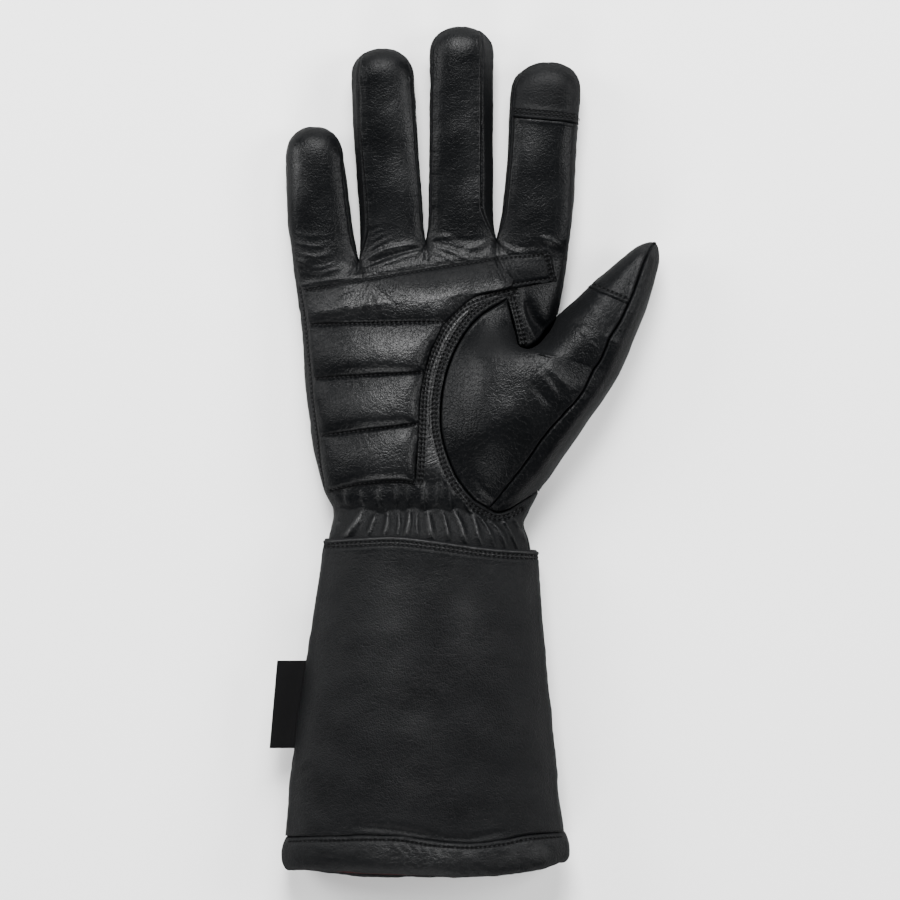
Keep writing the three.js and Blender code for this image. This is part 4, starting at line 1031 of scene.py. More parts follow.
def palm_relief(points, seams):
    """Height added to the palm leather: seams, sewn lines, the rounded band round the thumb
    opening, folds, gathers and unevenness. Also the seam, sewing and shine attributes."""
    x, y = points[:, 0], points[:, 1]
    height = 0.14 * waves(points, 28, 3) + 0.03 * waves(points, 8, 4)
    height, pucker, sewn = seamed(height, points, seams, palm_lines, 5)

    inner, _, inner_side = near_side(points, opening_edge, BAND_REACH)
    outer, outer_along, outer_side = near_side(points, outer_edge, BAND_REACH)
    between = (inner_side < 0) & (outer_side > 0) & (inner < BAND_REACH) & (outer < BAND_REACH)
    from_outer = np.maximum(outer - BAND_ROW, 0)
    share = from_outer / np.maximum(np.maximum(inner - 3.0, 0) + from_outer, 0.1)
    fade = smoothstep((y + 14) / 10) * smoothstep((21 - x) / 5)
    band = between * fade * (4 * share * (1 - share)) ** 0.6
    height += BAND_SWELL * band
    height += BAND_LIFT * between * smoothstep(outer / 0.7) * smoothstep((inner - 0.5) / 2) * fade
    wrinkled = between * 0.85 * fade * smoothstep((inner - 1.5) / 3) * smoothstep((outer - 0.5) / 2)
    pucker = stronger(pucker, outer_along + 0.5 * outer, outer, wrinkled)

    top, top_along = near(points, pad_top_line, PAD_TOP_REACH)
    above = (y > np.interp(x, pad_top_line[:, 0], pad_top_line[:, 1])) & (y < 110)
    height += above * PAD_TOP_ROLL * hump(top, 1.4, 0.9)
    pucker = stronger(pucker, top_along, top, 0.7 * np.exp(-top / 7.0) * above)

    wrist, _ = near(points, sampled(WRIST_LINE, 60), ROW_REACH)
    height -= WRIST_DENT * hump(wrist, 0, 1.3)
    gathers = 0.5 * smoothstep((-12 - y) / 12)
    pucker = stronger(pucker, x * 0.6, y, gathers)
    front = np.clip((points[:, 2] - hand_at(np.minimum(y, 92))["side"]) / 3, 0, 1)
    web_folds = folded(points, WEB_FOLDS)
    wrist_folds = folded(points, WRIST_FOLDS)
    height += front * (web_folds + WRIST_SHARE * wrist_folds)
    gloss = 0.3 * band + 0.12 * front * smoothstep((100 - y) / 16) * (1 - smoothstep((-18 - y) / 8))
    gloss += folded(points, FINGER_GLOSS) + 0.12 * web_folds + gathers * (0.5 * wrist_folds - 0.35)
    return height, pucker, sewn, gloss


def raised(points, faces, height):
    """The points moved out along their normals by the height, and none of them below the table."""
    points = points + normals_of(points, faces) * height[:, None]
    points[:, 2] = np.maximum(points[:, 2], 0)
    return points


side_left = np.concatenate([
    finger_fronts[0][:, 0], under_fingers[1:, 0], beside_opening[1:, 0], palm_wrist[1:, 0],
])
side_right = np.concatenate([finger_fronts[3][:, -1], under_fingers[1:, -1], tongue[1:, -1]])
palm_seams = [side_left, side_right, palm_wrist[:, -1], beside_opening[:, -1], tongue[:, 0], tongue[-1],
              heel, finger_fronts[3][PATCH_ROW]]
palm_seams += [grid[:, 0] for grid in finger_fronts[1:]] + [grid[:, -1] for grid in finger_fronts[:3]]
palm_patches = finger_fronts[:3] + [finger_fronts[3][PATCH_ROW:]]
palm_patches += [under_fingers, beside_opening, tongue, palm_wrist]
palm_points, palm_faces = joined(palm_patches)
palm_points = relaxed(palm_points, palm_faces, 4)
rise, palm_pucker, palm_sewn, palm_shine = palm_relief(palm_points, palm_seams)
palm_points = raised(palm_points, palm_faces, rise)
piece("palm_leather", palm_points, palm_faces, hand_leather, ("palm_panel",), wall=1.1,
      pucker=palm_pucker, sewn=palm_sewn, shine=palm_shine)
stitches("palm_stitches", palm_lines, palm_points, normals_of(palm_points, palm_faces))


# Index tip patch
# A cap of the same goatskin over the end of the index finger, for touch screens. Its lower edge
# is turned under and sewn on with two rows.

tip_leather = leather("tip_leather", (0.0019, 0.0021, 0.0024), 0.42, grain=0.85)


def skin_relief(points, seams, lines, seed, broad=0.15):
    """Height added to a plain panel: unevenness, rolled seams with small gathers beside them, and
    sewn lines. Also its seam and sewing attributes."""
    height = broad * (waves(points, 24, seed) + 0.2 * waves(points, 8, seed + 1))
    return seamed(height, points, seams, lines, seed + 2)


def skin(name, patches, material, node, seams, lines, seed, wall=1.1, rounds=4, broad=0.15, more=None,
         shine=None):
    """One leather panel: its patches joined, smoothed, given their relief and sewn."""
    points, faces = joined(patches)
    points = relaxed(points, faces, rounds)
    height, pucker, sewn = skin_relief(points, seams, lines, seed, broad)
    if more is not None:
        height = height + more(points)
    gloss = None if shine is None else shine(points)
    points = raised(points, faces, height)
    piece(name, points, faces, material, (node,), wall=wall, pucker=pucker, sewn=sewn, shine=gloss)
    if lines:
        stitches(name + "_stitches", lines, points, normals_of(points, faces))


tip_patch = finger_fronts[3][: PATCH_ROW + 1]
tip_edge = tip_patch[-1]
tip_lines = [(tip_edge + np.array([0, 2.2, 0]), 2)]


def tip_fold(points):
    """The turned lower edge stands a little proud of the finger."""
    above = points[:, 1] - np.interp(points[:, 0], tip_edge[:, 0], tip_edge[:, 1])
    return 0.55 * smoothstep(1 - (above - 3.0) / 2.0)


skin("index_tip_patch", [tip_patch], tip_leather, "index_tip_patch",
     [tip_patch[:, 0], tip_patch[:, -1]], tip_lines, 21, more=tip_fold)


# Back of the hand
# One piece of goatskin over the backs of the fingers, the hand and the wrist. The glove lies on
# it, so it is pressed flat underneath.

BACK_COLUMNS = 28
BACK_WALL_COLUMNS = 4
BACK_BASE_ROWS = 19
BACK_SIDE_ROWS = 70
BACK_WRIST_ROWS = 23
back_edge_curve = through([70, 63, 59.5, 50, 38, 0, -12, -16.5, -20, -60],
                          [1, 1, 1, 0.965, 0.95, 0.95, 0.985, 1, 1, 1])
BACK_EDGE_WRIST = -16.5


def back_height(x, y):
    """Height of the back of the hand."""
    return over_hand(x, y, lower, finger_back)


def on_back(x, y):
    """Place on the back of the hand."""
    return xyz(x, y, back_height(x, y))


def back_share(y):
    """Share of the hand's width at which the back leather ends on the thumb's side."""
    return np.minimum(1, back_edge_curve(y))


def finger_back_grid(i):
    """Back of a finger from its left side to its right side."""
    y, _, _ = finger_grid(i, BACK_COLUMNS)
    return finger_arch(i, y, finger_back, 0, np.pi, BACK_WALL_COLUMNS, -1)


def back_grids():
    """Patches of the back of the hand under the fingers, beside the thumb and at the wrist."""
    fingers = [finger_back_grid(i) for i in range(4)]
    base = web_row(fingers)
    columns = len(base) - 1
    c = (np.arange(columns + 1) / columns)[None, :]
    under = lowered(base, OPENING_TOP, crowded(c), BACK_BASE_ROWS, on_back)
    bottom = OPENING[-1][1]
    level = sampled(OPENING, BACK_SIDE_ROWS)[:, 1:]
    y = mix(level, mix(OPENING_TOP, BACK_EDGE_WRIST, (OPENING_TOP - level) / (OPENING_TOP - bottom)), c)
    beside = to_seam(on_back(x_at(back_share(y) * crowded(c), y), y))
    beside[0] = under[-1]
    y = mix(mix(bottom, BACK_EDGE_WRIST, c), WRIST_BOTTOM, row_steps(BACK_WRIST_ROWS) ** WRIST_FALL)
    wrist = to_both_seams(on_back(x_at(crowded(c), y), y))
    wrist[0] = beside[-1]
    return fingers, under, beside, wrist


finger_backs, under_backs, beside_thumb, back_wrist = back_grids()
back_patches = [patch[:, ::-1] for patch in (*finger_backs, under_backs, beside_thumb, back_wrist)]
back_seams = [
    np.concatenate([finger_backs[i][:, i], under_backs[1:, i], beside_thumb[1:, i], back_wrist[1:, i]])
    for i in (0, -1)
]
back_seams += [grid[:, 0] for grid in finger_backs[1:]] + [grid[:, -1] for grid in finger_backs[:3]]


def back_gathers(points):
    """Ridges where the elastic pulls the back of the wrist together."""
    near_wrist = smoothstep((-22 - points[:, 1]) / 5)
    return near_wrist * (0.5 * np.cos(points[:, 0] * 1.15) + 0.3 * waves(points * [1, 0.15, 1], 3.5, 33))


skin("back_leather", back_patches, hand_leather, "hand_back", back_seams, [], 31,
     more=back_gathers)


# Side strips
# Between each pair of fingers a narrow strip of goatskin runs down one finger, through the web
# and up the next, and gives the fingers their depth.

STRIP_COLUMNS = 14
STRIP_LEVELS = (0.55, -0.3, -1)
STRIP_START = 3


def strip_side(i, direction):
    """Side of a finger from its front seam down to its back seam, along the whole finger."""
    finger = FINGERS[i]
    y, depth, to_web = finger_grid(i, 1)
    y = y[:, 1:] if direction > 0 else y[:, :1]
    inset = finger["seams"][1 if direction > 0 else 0]
    front = finger_front(finger, y, direction * np.cos(seam_angle(inset, depth, to_web)))
    corners = [front] + [finger_side(finger, y, direction, np.full_like(y, level)) for level in STRIP_LEVELS]
    grid = np.stack([corner[:, 0] for corner in corners], 1)
    places = np.linspace(0, 3, STRIP_COLUMNS + 1)
    return np.stack([
        np.stack([through([0, 1, 2, 3], row)(places) for row in grid[:, :, axis]]) for axis in range(3)
    ], -1)


for i, between in enumerate(("little_ring", "ring_middle", "middle_index")):
    down = strip_side(i, 1)[STRIP_START:]
    up = strip_side(i + 1, -1)[STRIP_START:]
    strip = np.concatenate([down, up[::-1][1:]])
    skin("strip_" + between, [strip], hand_leather, "fourchette_" + between,
         [strip[:, 0], strip[:, -1]], [], 41 + 3 * i, broad=0.12, rounds=2)


# Thumb
# Set into the palm's opening: a front that covers the ball of the thumb, a back that wraps the
# outside down to the wrist, and a separate patch on the front of the tip.

THUMB = section(
    np.arange(8),
    inner_x=[82.6, 80.0, 76.8, 72.6, 62.6, 54.3, 47.8, 40.0],
    inner_y=[91.2, 91.4, 90.5, 88.0, 79.3, 72.4, 65.9, 59.5],
    outer_x=[82.6, 84.1, 84.6, 84.2, 81.3, 78.7, 75.2, 71.7],
    outer_y=[91.2, 89.0, 85.4, 81.0, 70.7, 62.0, 53.3, 44.6],
    seam=[0.43, 0.43, 0.45, 0.51, 0.64, 0.69, 0.71, 0.70],
    side=[14, 14, 14, 14, 14, 14, 13.5, 13.5],
    top=[14, 17.3, 20.6, 24, 28, 30.5, 32.5, 34],
    floor=[14, 11.2, 8, 5, 1.5, 0, 0, 0],
)
THUMB_SEAM = [(50.0, 25.2, 33.0), (42.5, 16.5, 33.5), (35.7, 8.9, 33.5), (28.5, -1.0, 32.5),
              (20.5, -12.0, 31.0)]
THUMB_OUTER = [(66.5, 33.3), (60.2, 22.7), (54.3, 14.1), (48.2, 5.4), (42.0, -3.0), (36.5, -11.2),
               (32.2, -16.5)]
ROOT_OUTER = (66.5, 33.3)
ROOT_Y = 40
ROOT_SIDE = 13.5
HEEL_SIDE = 12.5
ROOT_SEAM = 0.753
ROOT_TOP = 36
THENAR_BULGE = 3.5
THUMB_ROWS = 76
THENAR_ROWS = 96
THUMB_BACK_COLUMNS = 30


THUMB_SHARE = np.linspace(0, 1, THUMB_ROWS + 1) ** 1.25
TIP_STATION = int(np.searchsorted(7 * THUMB_SHARE, 5))


def thumb_stations():
    """Stations of the thumb from its tip to the root: inner and outer outline, the place
    underneath, and the seam's share, top and floor."""
    row = THUMB(7 * THUMB_SHARE)
    inner = xyz(row["inner_x"], row["inner_y"], row["side"])
    outer = xyz(row["outer_x"], row["outer_y"], row["side"])
    crotch = tongue[-1][::-1]
    inner[-1] = crotch[0]
    s = np.linspace(0, 1, len(crotch))[1:]
    rooted_outer = xyz(mix(outer[-1, 0], ROOT_OUTER[0], s), mix(outer[-1, 1], ROOT_OUTER[1], s), outer[-1, 2])
    y = mix(CROTCH[-1][1], ROOT_Y, s)
    beneath = on_back(x_at(back_share(y), y), y)
    under = np.concatenate([inner, beneath])
    return {
        "inner": np.concatenate([inner, crotch[1:]]),
        "outer": np.concatenate([outer, rooted_outer]),
        "under": under,
        "seam": np.concatenate([row["seam"], mix(row["seam"][-1], ROOT_SEAM, s)]),
        "top": np.concatenate([row["top"], mix(row["top"][-1], ROOT_TOP, s)]),
        "floor": np.concatenate([row["floor"], 0 * s]),
    }


def thumb_front_rows(stations, columns):
    """Front of the thumb: across each station, an arch up to its top, as far as the seam."""
    q = stations["seam"][:, None] * crowded_start(column_steps(columns))
    inner, outer = stations["inner"], stations["outer"]
    grid = mix(inner[:, None], outer[:, None], q[..., None])
    rise = stations["top"] - (inner[:, 2] + outer[:, 2]) / 2
    grid[..., 2] += rise[:, None] * round_profile(2 * q - 1, ARCH_POWER)
    return grid


def thumb_back_rows(seam, outer, under, floor):
    """Back of the thumb: over its outer edge from the seam, then underneath."""
    q = crowded_end(column_steps(THUMB_BACK_COLUMNS))
    over = mix(seam[:, None], outer[:, None], q[..., None])
    over[..., 2] = outer[:, 2:] + (seam[:, 2:] - outer[:, 2:]) * round_profile(q, ARCH_POWER)
    q = crowded(column_steps(THUMB_BACK_COLUMNS)[:, 1:])
    beneath = mix(outer[:, None], under[:, None], q[..., None])
    drop = beneath[..., 2] - np.minimum(floor[:, None], beneath[..., 2])
    beneath[..., 2] -= drop * flat_profile(2 * q - 1)
    return np.concatenate([over, beneath], 1)


stations = thumb_stations()
thumb_rows = thumb_front_rows(stations, OPENING_ROWS)
opening_line = beside_opening[:, -1]
root = thumb_rows[-1]
strip_curve = path_through(tongue[::-1, 0])
seam_points = [root[-1], *THUMB_SEAM, tuple(heel[0])]
seam_curve = path_through(seam_points)
a = np.linspace(0, 1, OPENING_ROWS + 1)[None, :, None]
b = np.linspace(0, 1, THENAR_ROWS + 1)[:, None, None]
edge_b = b[:, 0, 0]
thenar = (root[None] * (1 - b) + opening_line[None] * b
          + strip_curve(edge_b)[:, None] * (1 - a) + seam_curve(edge_b)[:, None] * a
          - root[0] * (1 - a) * (1 - b) - root[-1] * a * (1 - b)
          - opening_line[0] * (1 - a) * b - opening_line[-1] * a * b)
thenar[..., 2] += (THENAR_BULGE * 16 * a * (1 - a) * b * (1 - b))[..., 0]
thenar[0] = root

s = edge_b[1:]
outer_line = path_through(THUMB_OUTER)(s)
outer_line = np.column_stack([outer_line, mix(ROOT_SIDE, HEEL_SIDE, s)])
y = mix(ROOT_Y, BACK_EDGE_WRIST, s)
under_line = on_back(x_at(back_share(y), y), y)
lower_floor = HEEL_SIDE * smoothstep((s - 0.72) / 0.28)
lower_rows = thumb_back_rows(seam_curve(s), outer_line, under_line, lower_floor)
heel_row = sampled(heel, THUMB_BACK_COLUMNS + 1)
heel_row = np.concatenate([heel_row, np.repeat(heel[-1:], THUMB_BACK_COLUMNS, 0)])
to_heel = (np.clip((s - 0.8) / 0.2, 0, 1) ** 2)[:, None, None]
lower_rows = mix(lower_rows, heel_row[None], to_heel)
upper_rows = thumb_back_rows(thumb_rows[:, -1], stations["outer"], stations["under"], stations["floor"])
thumb_back_grid = np.concatenate([upper_rows, lower_rows])
thumb_seam_line = np.concatenate([thumb_rows[:, -1], seam_curve(s)])

THUMB_FOLDS = [
    (35, 38.5, 39.5, 33.5, 44.5, 28, 2.2, 0.9),
    (31.5, 35.5, 35.5, 30, 39.5, 24.5, 1.6, 0.5),
    (29, 30.5, 32.5, 25.5, 36.5, 21, 1.6, -0.5),
    (55.0, 70.5, 59.5, 65.5, 63.5, 58.5, 0.6, 0.2),
    (52.5, 67.5, 57, 63.5, 60.5, 57, 0.6, -0.2),
    (51, 66.5, 55, 61.5, 58.5, 55, 0.6, 0.15),
    (50, 52.5, 51, 51, 52, 50, 0.5, 0.25),
    (54.5, 48, 55.5, 46.5, 57, 45.5, 0.5, 0.25),
    (15, -7.5, 21.5, -6.5, 27.5, -4, 0.6, -0.25),
    (16, -11, 20.5, -10.5, 25, -8.5, 0.6, -0.25),
    (2, -7.5, 8.5, -16.5, 14.5, -20.5, 1.2, 0.4),
]
BALL = {"at": (14.0, 8.0), "radius": 15.0, "rise": 1.9}
HOLLOW = {"at": (34.0, 50.0), "radius": 11.0, "rise": -1.3}
inner_side = np.concatenate([stations["inner"][:THUMB_ROWS + 1], strip_curve(np.linspace(0, 1, 20))])
front_seams = [thumb_seam_line, inner_side, opening_line, tongue[-1]]


def thumb_folds(points):
    """Folds, and two broad forms of height rise times exp(-(distance / radius)^2): the ball of the
    thumb and the hollow above it."""
    height = folded(points, THUMB_FOLDS)
    for form in (BALL, HOLLOW):
        away = np.hypot(points[:, 0] - form["at"][0], points[:, 1] - form["at"][1])
        height += form["rise"] * hump(away, 0, form["radius"])
    return height


# Rubbed and dull places of the thumb's front
THUMB_GLOSS = [
    (10, 22, 20, 26, 31, 31, 7.0, 0.22),
    (6, 42, 4, 32, 3, 20, 4.0, 0.12),
    (3, 46, 14, 47, 25, 43, 7.0, -0.28),
    (36, 47, 44, 57, 52, 66, 5.0, -0.1),
    (35, 38.5, 39.5, 33.5, 43, 30, 3.0, 0.16),
]


def thumb_shine(points):
    """The ball of the thumb is rubbed glossy in its middle and duller near the fingers."""
    return 0.04 * smoothstep((75 - points[:, 1]) / 30) + folded(points, THUMB_GLOSS)


skin("thumb_front", [thumb_rows[TIP_STATION:], thenar], hand_leather, "thumb_front",
     front_seams, [], 51, more=thumb_folds, shine=thumb_shine)
thumb_tip_seams = [thumb_rows[:TIP_STATION + 1, -1], thumb_rows[:TIP_STATION + 1, 0]]
thumb_tip_line = [(moved_in(thumb_rows[TIP_STATION, 8:-8], -1.8), 1)]


def thumb_tip_fold(points):
    """The patch's turned edge stands a little proud of the thumb."""
    edge, _ = near(points, thumb_rows[TIP_STATION], 4.0)
    return 0.18 * smoothstep((3.6 - edge) / 1.6)


skin("thumb_tip_patch", [thumb_rows[: TIP_STATION + 1]], hand_leather, "thumb_tip_patch",
     thumb_tip_seams, thumb_tip_line, 61, more=thumb_tip_fold)
thumb_under_seam = np.concatenate([stations["under"][THUMB_ROWS:], under_line])
thumb_back_seams = [thumb_seam_line, heel, stations["inner"][:THUMB_ROWS + 1], thumb_under_seam]
skin("thumb_back", [thumb_back_grid], hand_leather, "thumb_back", thumb_back_seams, [], 71)


# Palm pad
# A quilted overlay of goatskin over thin foam, in four cells. It is sewn round its edge and
# across between the cells, so that each cell swells up between two rows of stitches.

PAD = section(
    np.arange(17),
    left_x=[-70.0, -69.2, -68.5, -67.9, -67.4, -67.0, -66.4, -65.7, -65.2, -64.9, -64.2, -63.2, -62.6,
            -62.2, -61.4, -60.0, -59.1],
    left_y=[71.1, 66.8, 62.6, 58.6, 55.4, 51.6, 44.4, 36.4, 32.0, 28.2, 20.8, 12.0, 7.2, 3.2, -4.4,
            -13.4, -17.6],
    right_x=[14.8, 18.0, 20.3, 4.5, -8.3, -11.0, -13.9, -16.3, -17.2, -18.2, -19.2, -19.6, -19.7,
             -20.0, -20.5, -21.1, -21.4],
    right_y=[85.2, 79.0, 71.6, 66.8, 56.3, 51.2, 45.2, 38.0, 34.6, 30.0, 23.0, 16.0, 12.4, 8.0, 0.0,
             -9.6, -14.1],
)
PAD_ROWS = 96
PAD_COLUMNS = 64
PAD_CELLS = 4
CELL_STEPS = 4
PAD_SWELL = 3.4
TOP_CELL_SWELL = 2.2
PAD_PRESSURE = 4
MOST_SWELL = 3
SWELL_STEPS = 20
EDGE_DEPTH = 0.35
PAD_BASE = 0.8
UNDERSIDE = 0.2


def over_palm(x, y, distance):
    """Place above the palm, moved off it along its normal."""
    slope_x = (palm_height(x + 0.2, y) - palm_height(x - 0.2, y)) / 0.4
    slope_y = (palm_height(x, y + 0.2) - palm_height(x, y - 0.2)) / 0.4
    normal = xyz(-slope_x, -slope_y, 1.0)
    normal /= np.linalg.norm(normal, axis=-1, keepdims=True)
    return on_palm(x, y) + normal * distance[..., None]


def closed_slab(top, bottom):
    """Points and triangles of the solid between two sheets of the same rows and columns."""
    rows, columns = top.shape[:2]
    number = np.arange(rows * columns).reshape(rows, columns)
    below = number + rows * columns
    faces = squares(number)
    faces += triangles(below[:-1, :-1], below[:-1, 1:], below[1:, 1:], below[1:, :-1])
    for edge, under_edge, turn in ((number[:, 0], below[:, 0], 1), (number[:, -1], below[:, -1], -1),
                                   (number[0], below[0], -1), (number[-1], below[-1], 1)):
        corners = [edge[:-1], under_edge[:-1], under_edge[1:], edge[1:]]
        faces += triangles(*corners[::turn])
    return np.concatenate([top.reshape(-1, 3), bottom.reshape(-1, 3)]), np.concatenate(faces)


def swollen(points, faces, held, pressure, most):
    """A sewn pad filled from within: a cloth simulation presses its leather outwards for a few
    steps, while the held points stay. The finest wrinkles are evened out, and no point moves
    further than the most given."""
    mesh = bpy.data.meshes.new("filling")
    mesh.from_pydata((points / 1000).tolist(), [], faces.tolist())
    filled = bpy.data.objects.new("filling", mesh)
    bpy.context.scene.collection.objects.link(filled)
    filled.vertex_groups.new(name="held").add(np.flatnonzero(held).tolist(), 1, "REPLACE")
    cloth = filled.modifiers.new("cloth", "CLOTH")
    cloth.settings.quality = 6
    cloth.settings.mass = 0.02
    cloth.settings.tension_stiffness = 20
    cloth.settings.compression_stiffness = 20
    cloth.settings.shear_stiffness = 8
    cloth.settings.bending_stiffness = 1.5
    cloth.settings.shrink_min = -0.008
    cloth.settings.vertex_group_mass = "held"
    cloth.settings.use_pressure = True
    cloth.settings.uniform_pressure_force = pressure
    cloth.settings.effector_weights.gravity = 0
    cloth.point_cache.frame_end = SWELL_STEPS
    for step in range(1, SWELL_STEPS + 1):
        bpy.context.scene.frame_set(step)
    moved = np.empty(points.size)
    filled.evaluated_get(bpy.context.evaluated_depsgraph_get()).data.vertices.foreach_get("co", moved)
    bpy.data.objects.remove(filled)
    bpy.context.scene.frame_set(1)
    move = relaxed(moved.reshape(-1, 3) * 1000 - points, faces, 14, held)
    reach = np.maximum(np.linalg.norm(move, axis=1, keepdims=True), 1e-9)
    return points + move * np.minimum(1, most / reach)


def refined(grid):
    """The grid with a new row and column between every two: each new value is (9 (b + c) - a - d)
    / 16 of the two on each side, and at the borders the mean of its two neighbours."""
    for axis in (0, 1):
        rows = np.moveaxis(grid, axis, 0)
        between = (rows[:-1] + rows[1:]) / 2
        between[1:-1] = (9 * (rows[1:-2] + rows[2:-1]) - rows[:-3] - rows[3:]) / 16
        finer = np.empty((2 * len(rows) - 1, *rows.shape[1:]))
        finer[::2], finer[1::2] = rows, between
        grid = np.moveaxis(finer, 0, axis)
    return grid


def overlay(name, thread_name, top, bottom, material, edge, lines, folds, seed, broad, shine, more=None):
    """A padded piece sewn on the palm: a closed slab whose upper side gets its relief and its
    stitches. What is given as more adds height and says how the leather wrinkles."""
    points, faces = closed_slab(top, bottom)
    count = len(points) // 2
    on_top = points[:count]
    height, pucker, sewn = skin_relief(on_top, [edge], lines, seed, broad)
    height += folded(on_top, folds) - EDGE_DEPTH * rolled(near(on_top, edge, 4.0)[0])
    if more is not None:
        extra, pucker = more(on_top)
        height += extra
    points[:count] = on_top + normals_of(points, faces)[:count] * height[:, None]
    made = piece(name, points, faces, material, (name,),
                 pucker=np.concatenate([pucker, np.zeros((count, 3))]),
                 sewn=np.concatenate([sewn, np.tile(UNSEWN, (count, 1))]),
                 shine=np.concatenate([shine.ravel(), np.zeros(count)]))
    stitches(thread_name, lines, points[:count], normals_of(points, faces)[:count])
    return made


r = np.linspace(0, CELL_STEPS * PAD_CELLS, PAD_ROWS + 1)[:, None]
c = column_steps(PAD_COLUMNS)
in_top_cell = r < CELL_STEPS
pad_row = PAD(r)
share = mix(c, crowded(c), 0.6)
sag = 2.2 * smoothstep((r - 12) / 4) * np.sin(np.pi * c)
pad_x = mix(pad_row["left_x"], pad_row["right_x"], share)
pad_y = mix(pad_row["left_y"], pad_row["right_y"], share) + sag
cell = np.clip(r % CELL_STEPS / CELL_STEPS, 0, 1)
from_left = np.hypot(pad_x - pad_x[:, :1], pad_y - pad_y[:, :1])
from_right = np.hypot(pad_x - pad_x[:, -1:], pad_y - pad_y[:, -1:])
right_end = mix(0.7, 1 - np.exp(-from_right / 2.2), smoothstep((r - 1.2) / 1.4))
rounding = np.where(in_top_cell, 16, 32)
across = (0.35 * (1 - np.exp(-from_left / 0.5)) + 0.65 * smoothstep(from_left / rounding) ** 0.7) * right_end
lean = np.where(in_top_cell, mix(1.15, 1.9, smoothstep((from_left - 12) / 40)), 1.35)
crown = np.sin(np.pi * cell**lean) ** 0.85
swell = np.where(in_top_cell, TOP_CELL_SWELL, PAD_SWELL)
pressed = 0.9 * smoothstep(r / 1.2) * smoothstep((16 - r) / 1.2)
pad_top = over_palm(pad_x, pad_y, PAD_BASE + (pressed + (swell - pressed / 2) * crown) * across)
pad_bottom = over_palm(pad_x, pad_y, np.full_like(pad_x, UNDERSIDE))
pad_points, pad_faces = closed_slab(pad_top, pad_bottom)
pad_leather = leather("pad_leather", HAND_COLOUR, 0.3, depth=(0.9, 1.1, 0.005, 0.06))
sewn_down = np.zeros(pad_top.shape[:2], bool)
sewn_down[:: PAD_ROWS // PAD_CELLS] = True
sewn_down[:, [0, -1]] = True
held = np.concatenate([sewn_down.ravel(), np.ones(sewn_down.size, bool)])
pad_points = swollen(pad_points, pad_faces, held, PAD_PRESSURE, MOST_SWELL)
pad_top = refined(pad_points[:sewn_down.size].reshape(pad_top.shape))
pad_bottom = refined(pad_bottom)
joint_row = len(pad_top) // 9
pad_edge = np.concatenate([
    pad_top[joint_row:, -1], pad_top[-1, ::-1][1:], pad_top[::-1, 0][1:], pad_top[0, 1:],
])
quilt = [pad_top[len(pad_top) // PAD_CELLS * k] for k in range(1, PAD_CELLS)]
top_row = mix(pad_top[0], pad_top[6], 0.4)
bottom_row = mix(pad_top[-1], pad_top[-7], 0.4)
pad_lines = [(path, 1) for path in (*quilt, top_row, bottom_row)]
PAD_FOLDS = [
    (-42.5, 73.0, -48.0, 69.5, -57.0, 65.5, 0.8, -0.3),
    (-42.2, 72.5, -45.5, 67.5, -51.5, 62.0, 0.8, -0.35),
    (-41.9, 72.5, -43.2, 66.5, -46.5, 59.0, 0.8, 0.3),
    (-41.6, 72.5, -41.0, 66.0, -41.0, 58.5, 0.8, -0.35),
    (-41.2, 72.5, -38.5, 67.0, -35.5, 60.0, 0.8, 0.3),
    (-40.8, 73.0, -35.5, 68.5, -29.0, 63.0, 0.9, -0.3),
    (-40.5, 73.5, -32.5, 70.5, -23.0, 67.5, 0.9, 0.15),
    (12.0, 83.6, 14.8, 77.8, 17.6, 72.0, 0.8, 0.5),
    (9.4, 83.0, 11.6, 78.4, 13.4, 73.6, 0.8, -0.3),
]
rubbed = 0.32 * smoothstep((from_left - 4) / 30) * smoothstep((from_right + 2) / 8) * crown**1.5
rubbed -= 0.2 * in_top_cell * smoothstep((2.2 - r) / 1.4) * smoothstep((from_left - 20) / 30)
rubbed += 0.2 * in_top_cell * hump(from_left, 14, 12) * crown


def pad_gathers(points):
    """Small gathers beside the rows of stitches, and in the top cell wrinkles that fan out from the
    pad's upper edge."""
    distance, along = nearest_of(points, [*quilt, top_row])
    height = small_gathers(distance, along, 4.6, 83, 0.06, 2.2)
    pucker = xyz(along, distance, 0.22 * np.exp(-distance / 3))
    from_top, top_along = near(points, pad_top[0], 20.0)
    above = points[:, 1] > np.interp(points[:, 0], *quilt[0][:, :2].T)
    return height, stronger(pucker, top_along + 0.3 * from_top, from_top, 0.6 * np.exp(-from_top / 9) * above)


pad = overlay("palm_pad", "pad_stitches", pad_top, pad_bottom, pad_leather, pad_edge, pad_lines, PAD_FOLDS,
              81, 0.2, refined(rubbed), pad_gathers)


# Tab
# The pad's end beside the root of the index finger: a small padded piece of the same goatskin,
# joined to the pad at a pair of folds and sewn down round its other three sides.

TAB = [(14.0, 85.2), (36.9, 87.2), (39.8, 74.3), (19.8, 70.9)]
TAB_ROWS = 36
TAB_COLUMNS = 54
TAB_GLOSS = -0.05
TAB_BASE = 0.85
TAB_SWELL = 1.2
TAB_FOLDS = [
    (16.6, 84.6, 19.0, 79.4, 21.0, 74.6, 0.8, 0.4),
    (19.6, 84.4, 21.8, 80.0, 23.6, 76.2, 0.8, -0.25),
]
s = row_steps(TAB_ROWS)
c = column_steps(TAB_COLUMNS)
tab_x, tab_y = (mix(mix(a, b, c), mix(low_a, low_b, c), s) for a, b, low_b, low_a in zip(*TAB))
tab_top = over_palm(tab_x, tab_y, TAB_BASE + TAB_SWELL * np.sin(np.pi * s) ** 1.5 * (1 - c**4))
tab_bottom = over_palm(tab_x, tab_y, np.full_like(tab_x, UNDERSIDE))
tab_edge = np.concatenate([tab_top[0], tab_top[1:, -1], tab_top[-1, ::-1][1:]])
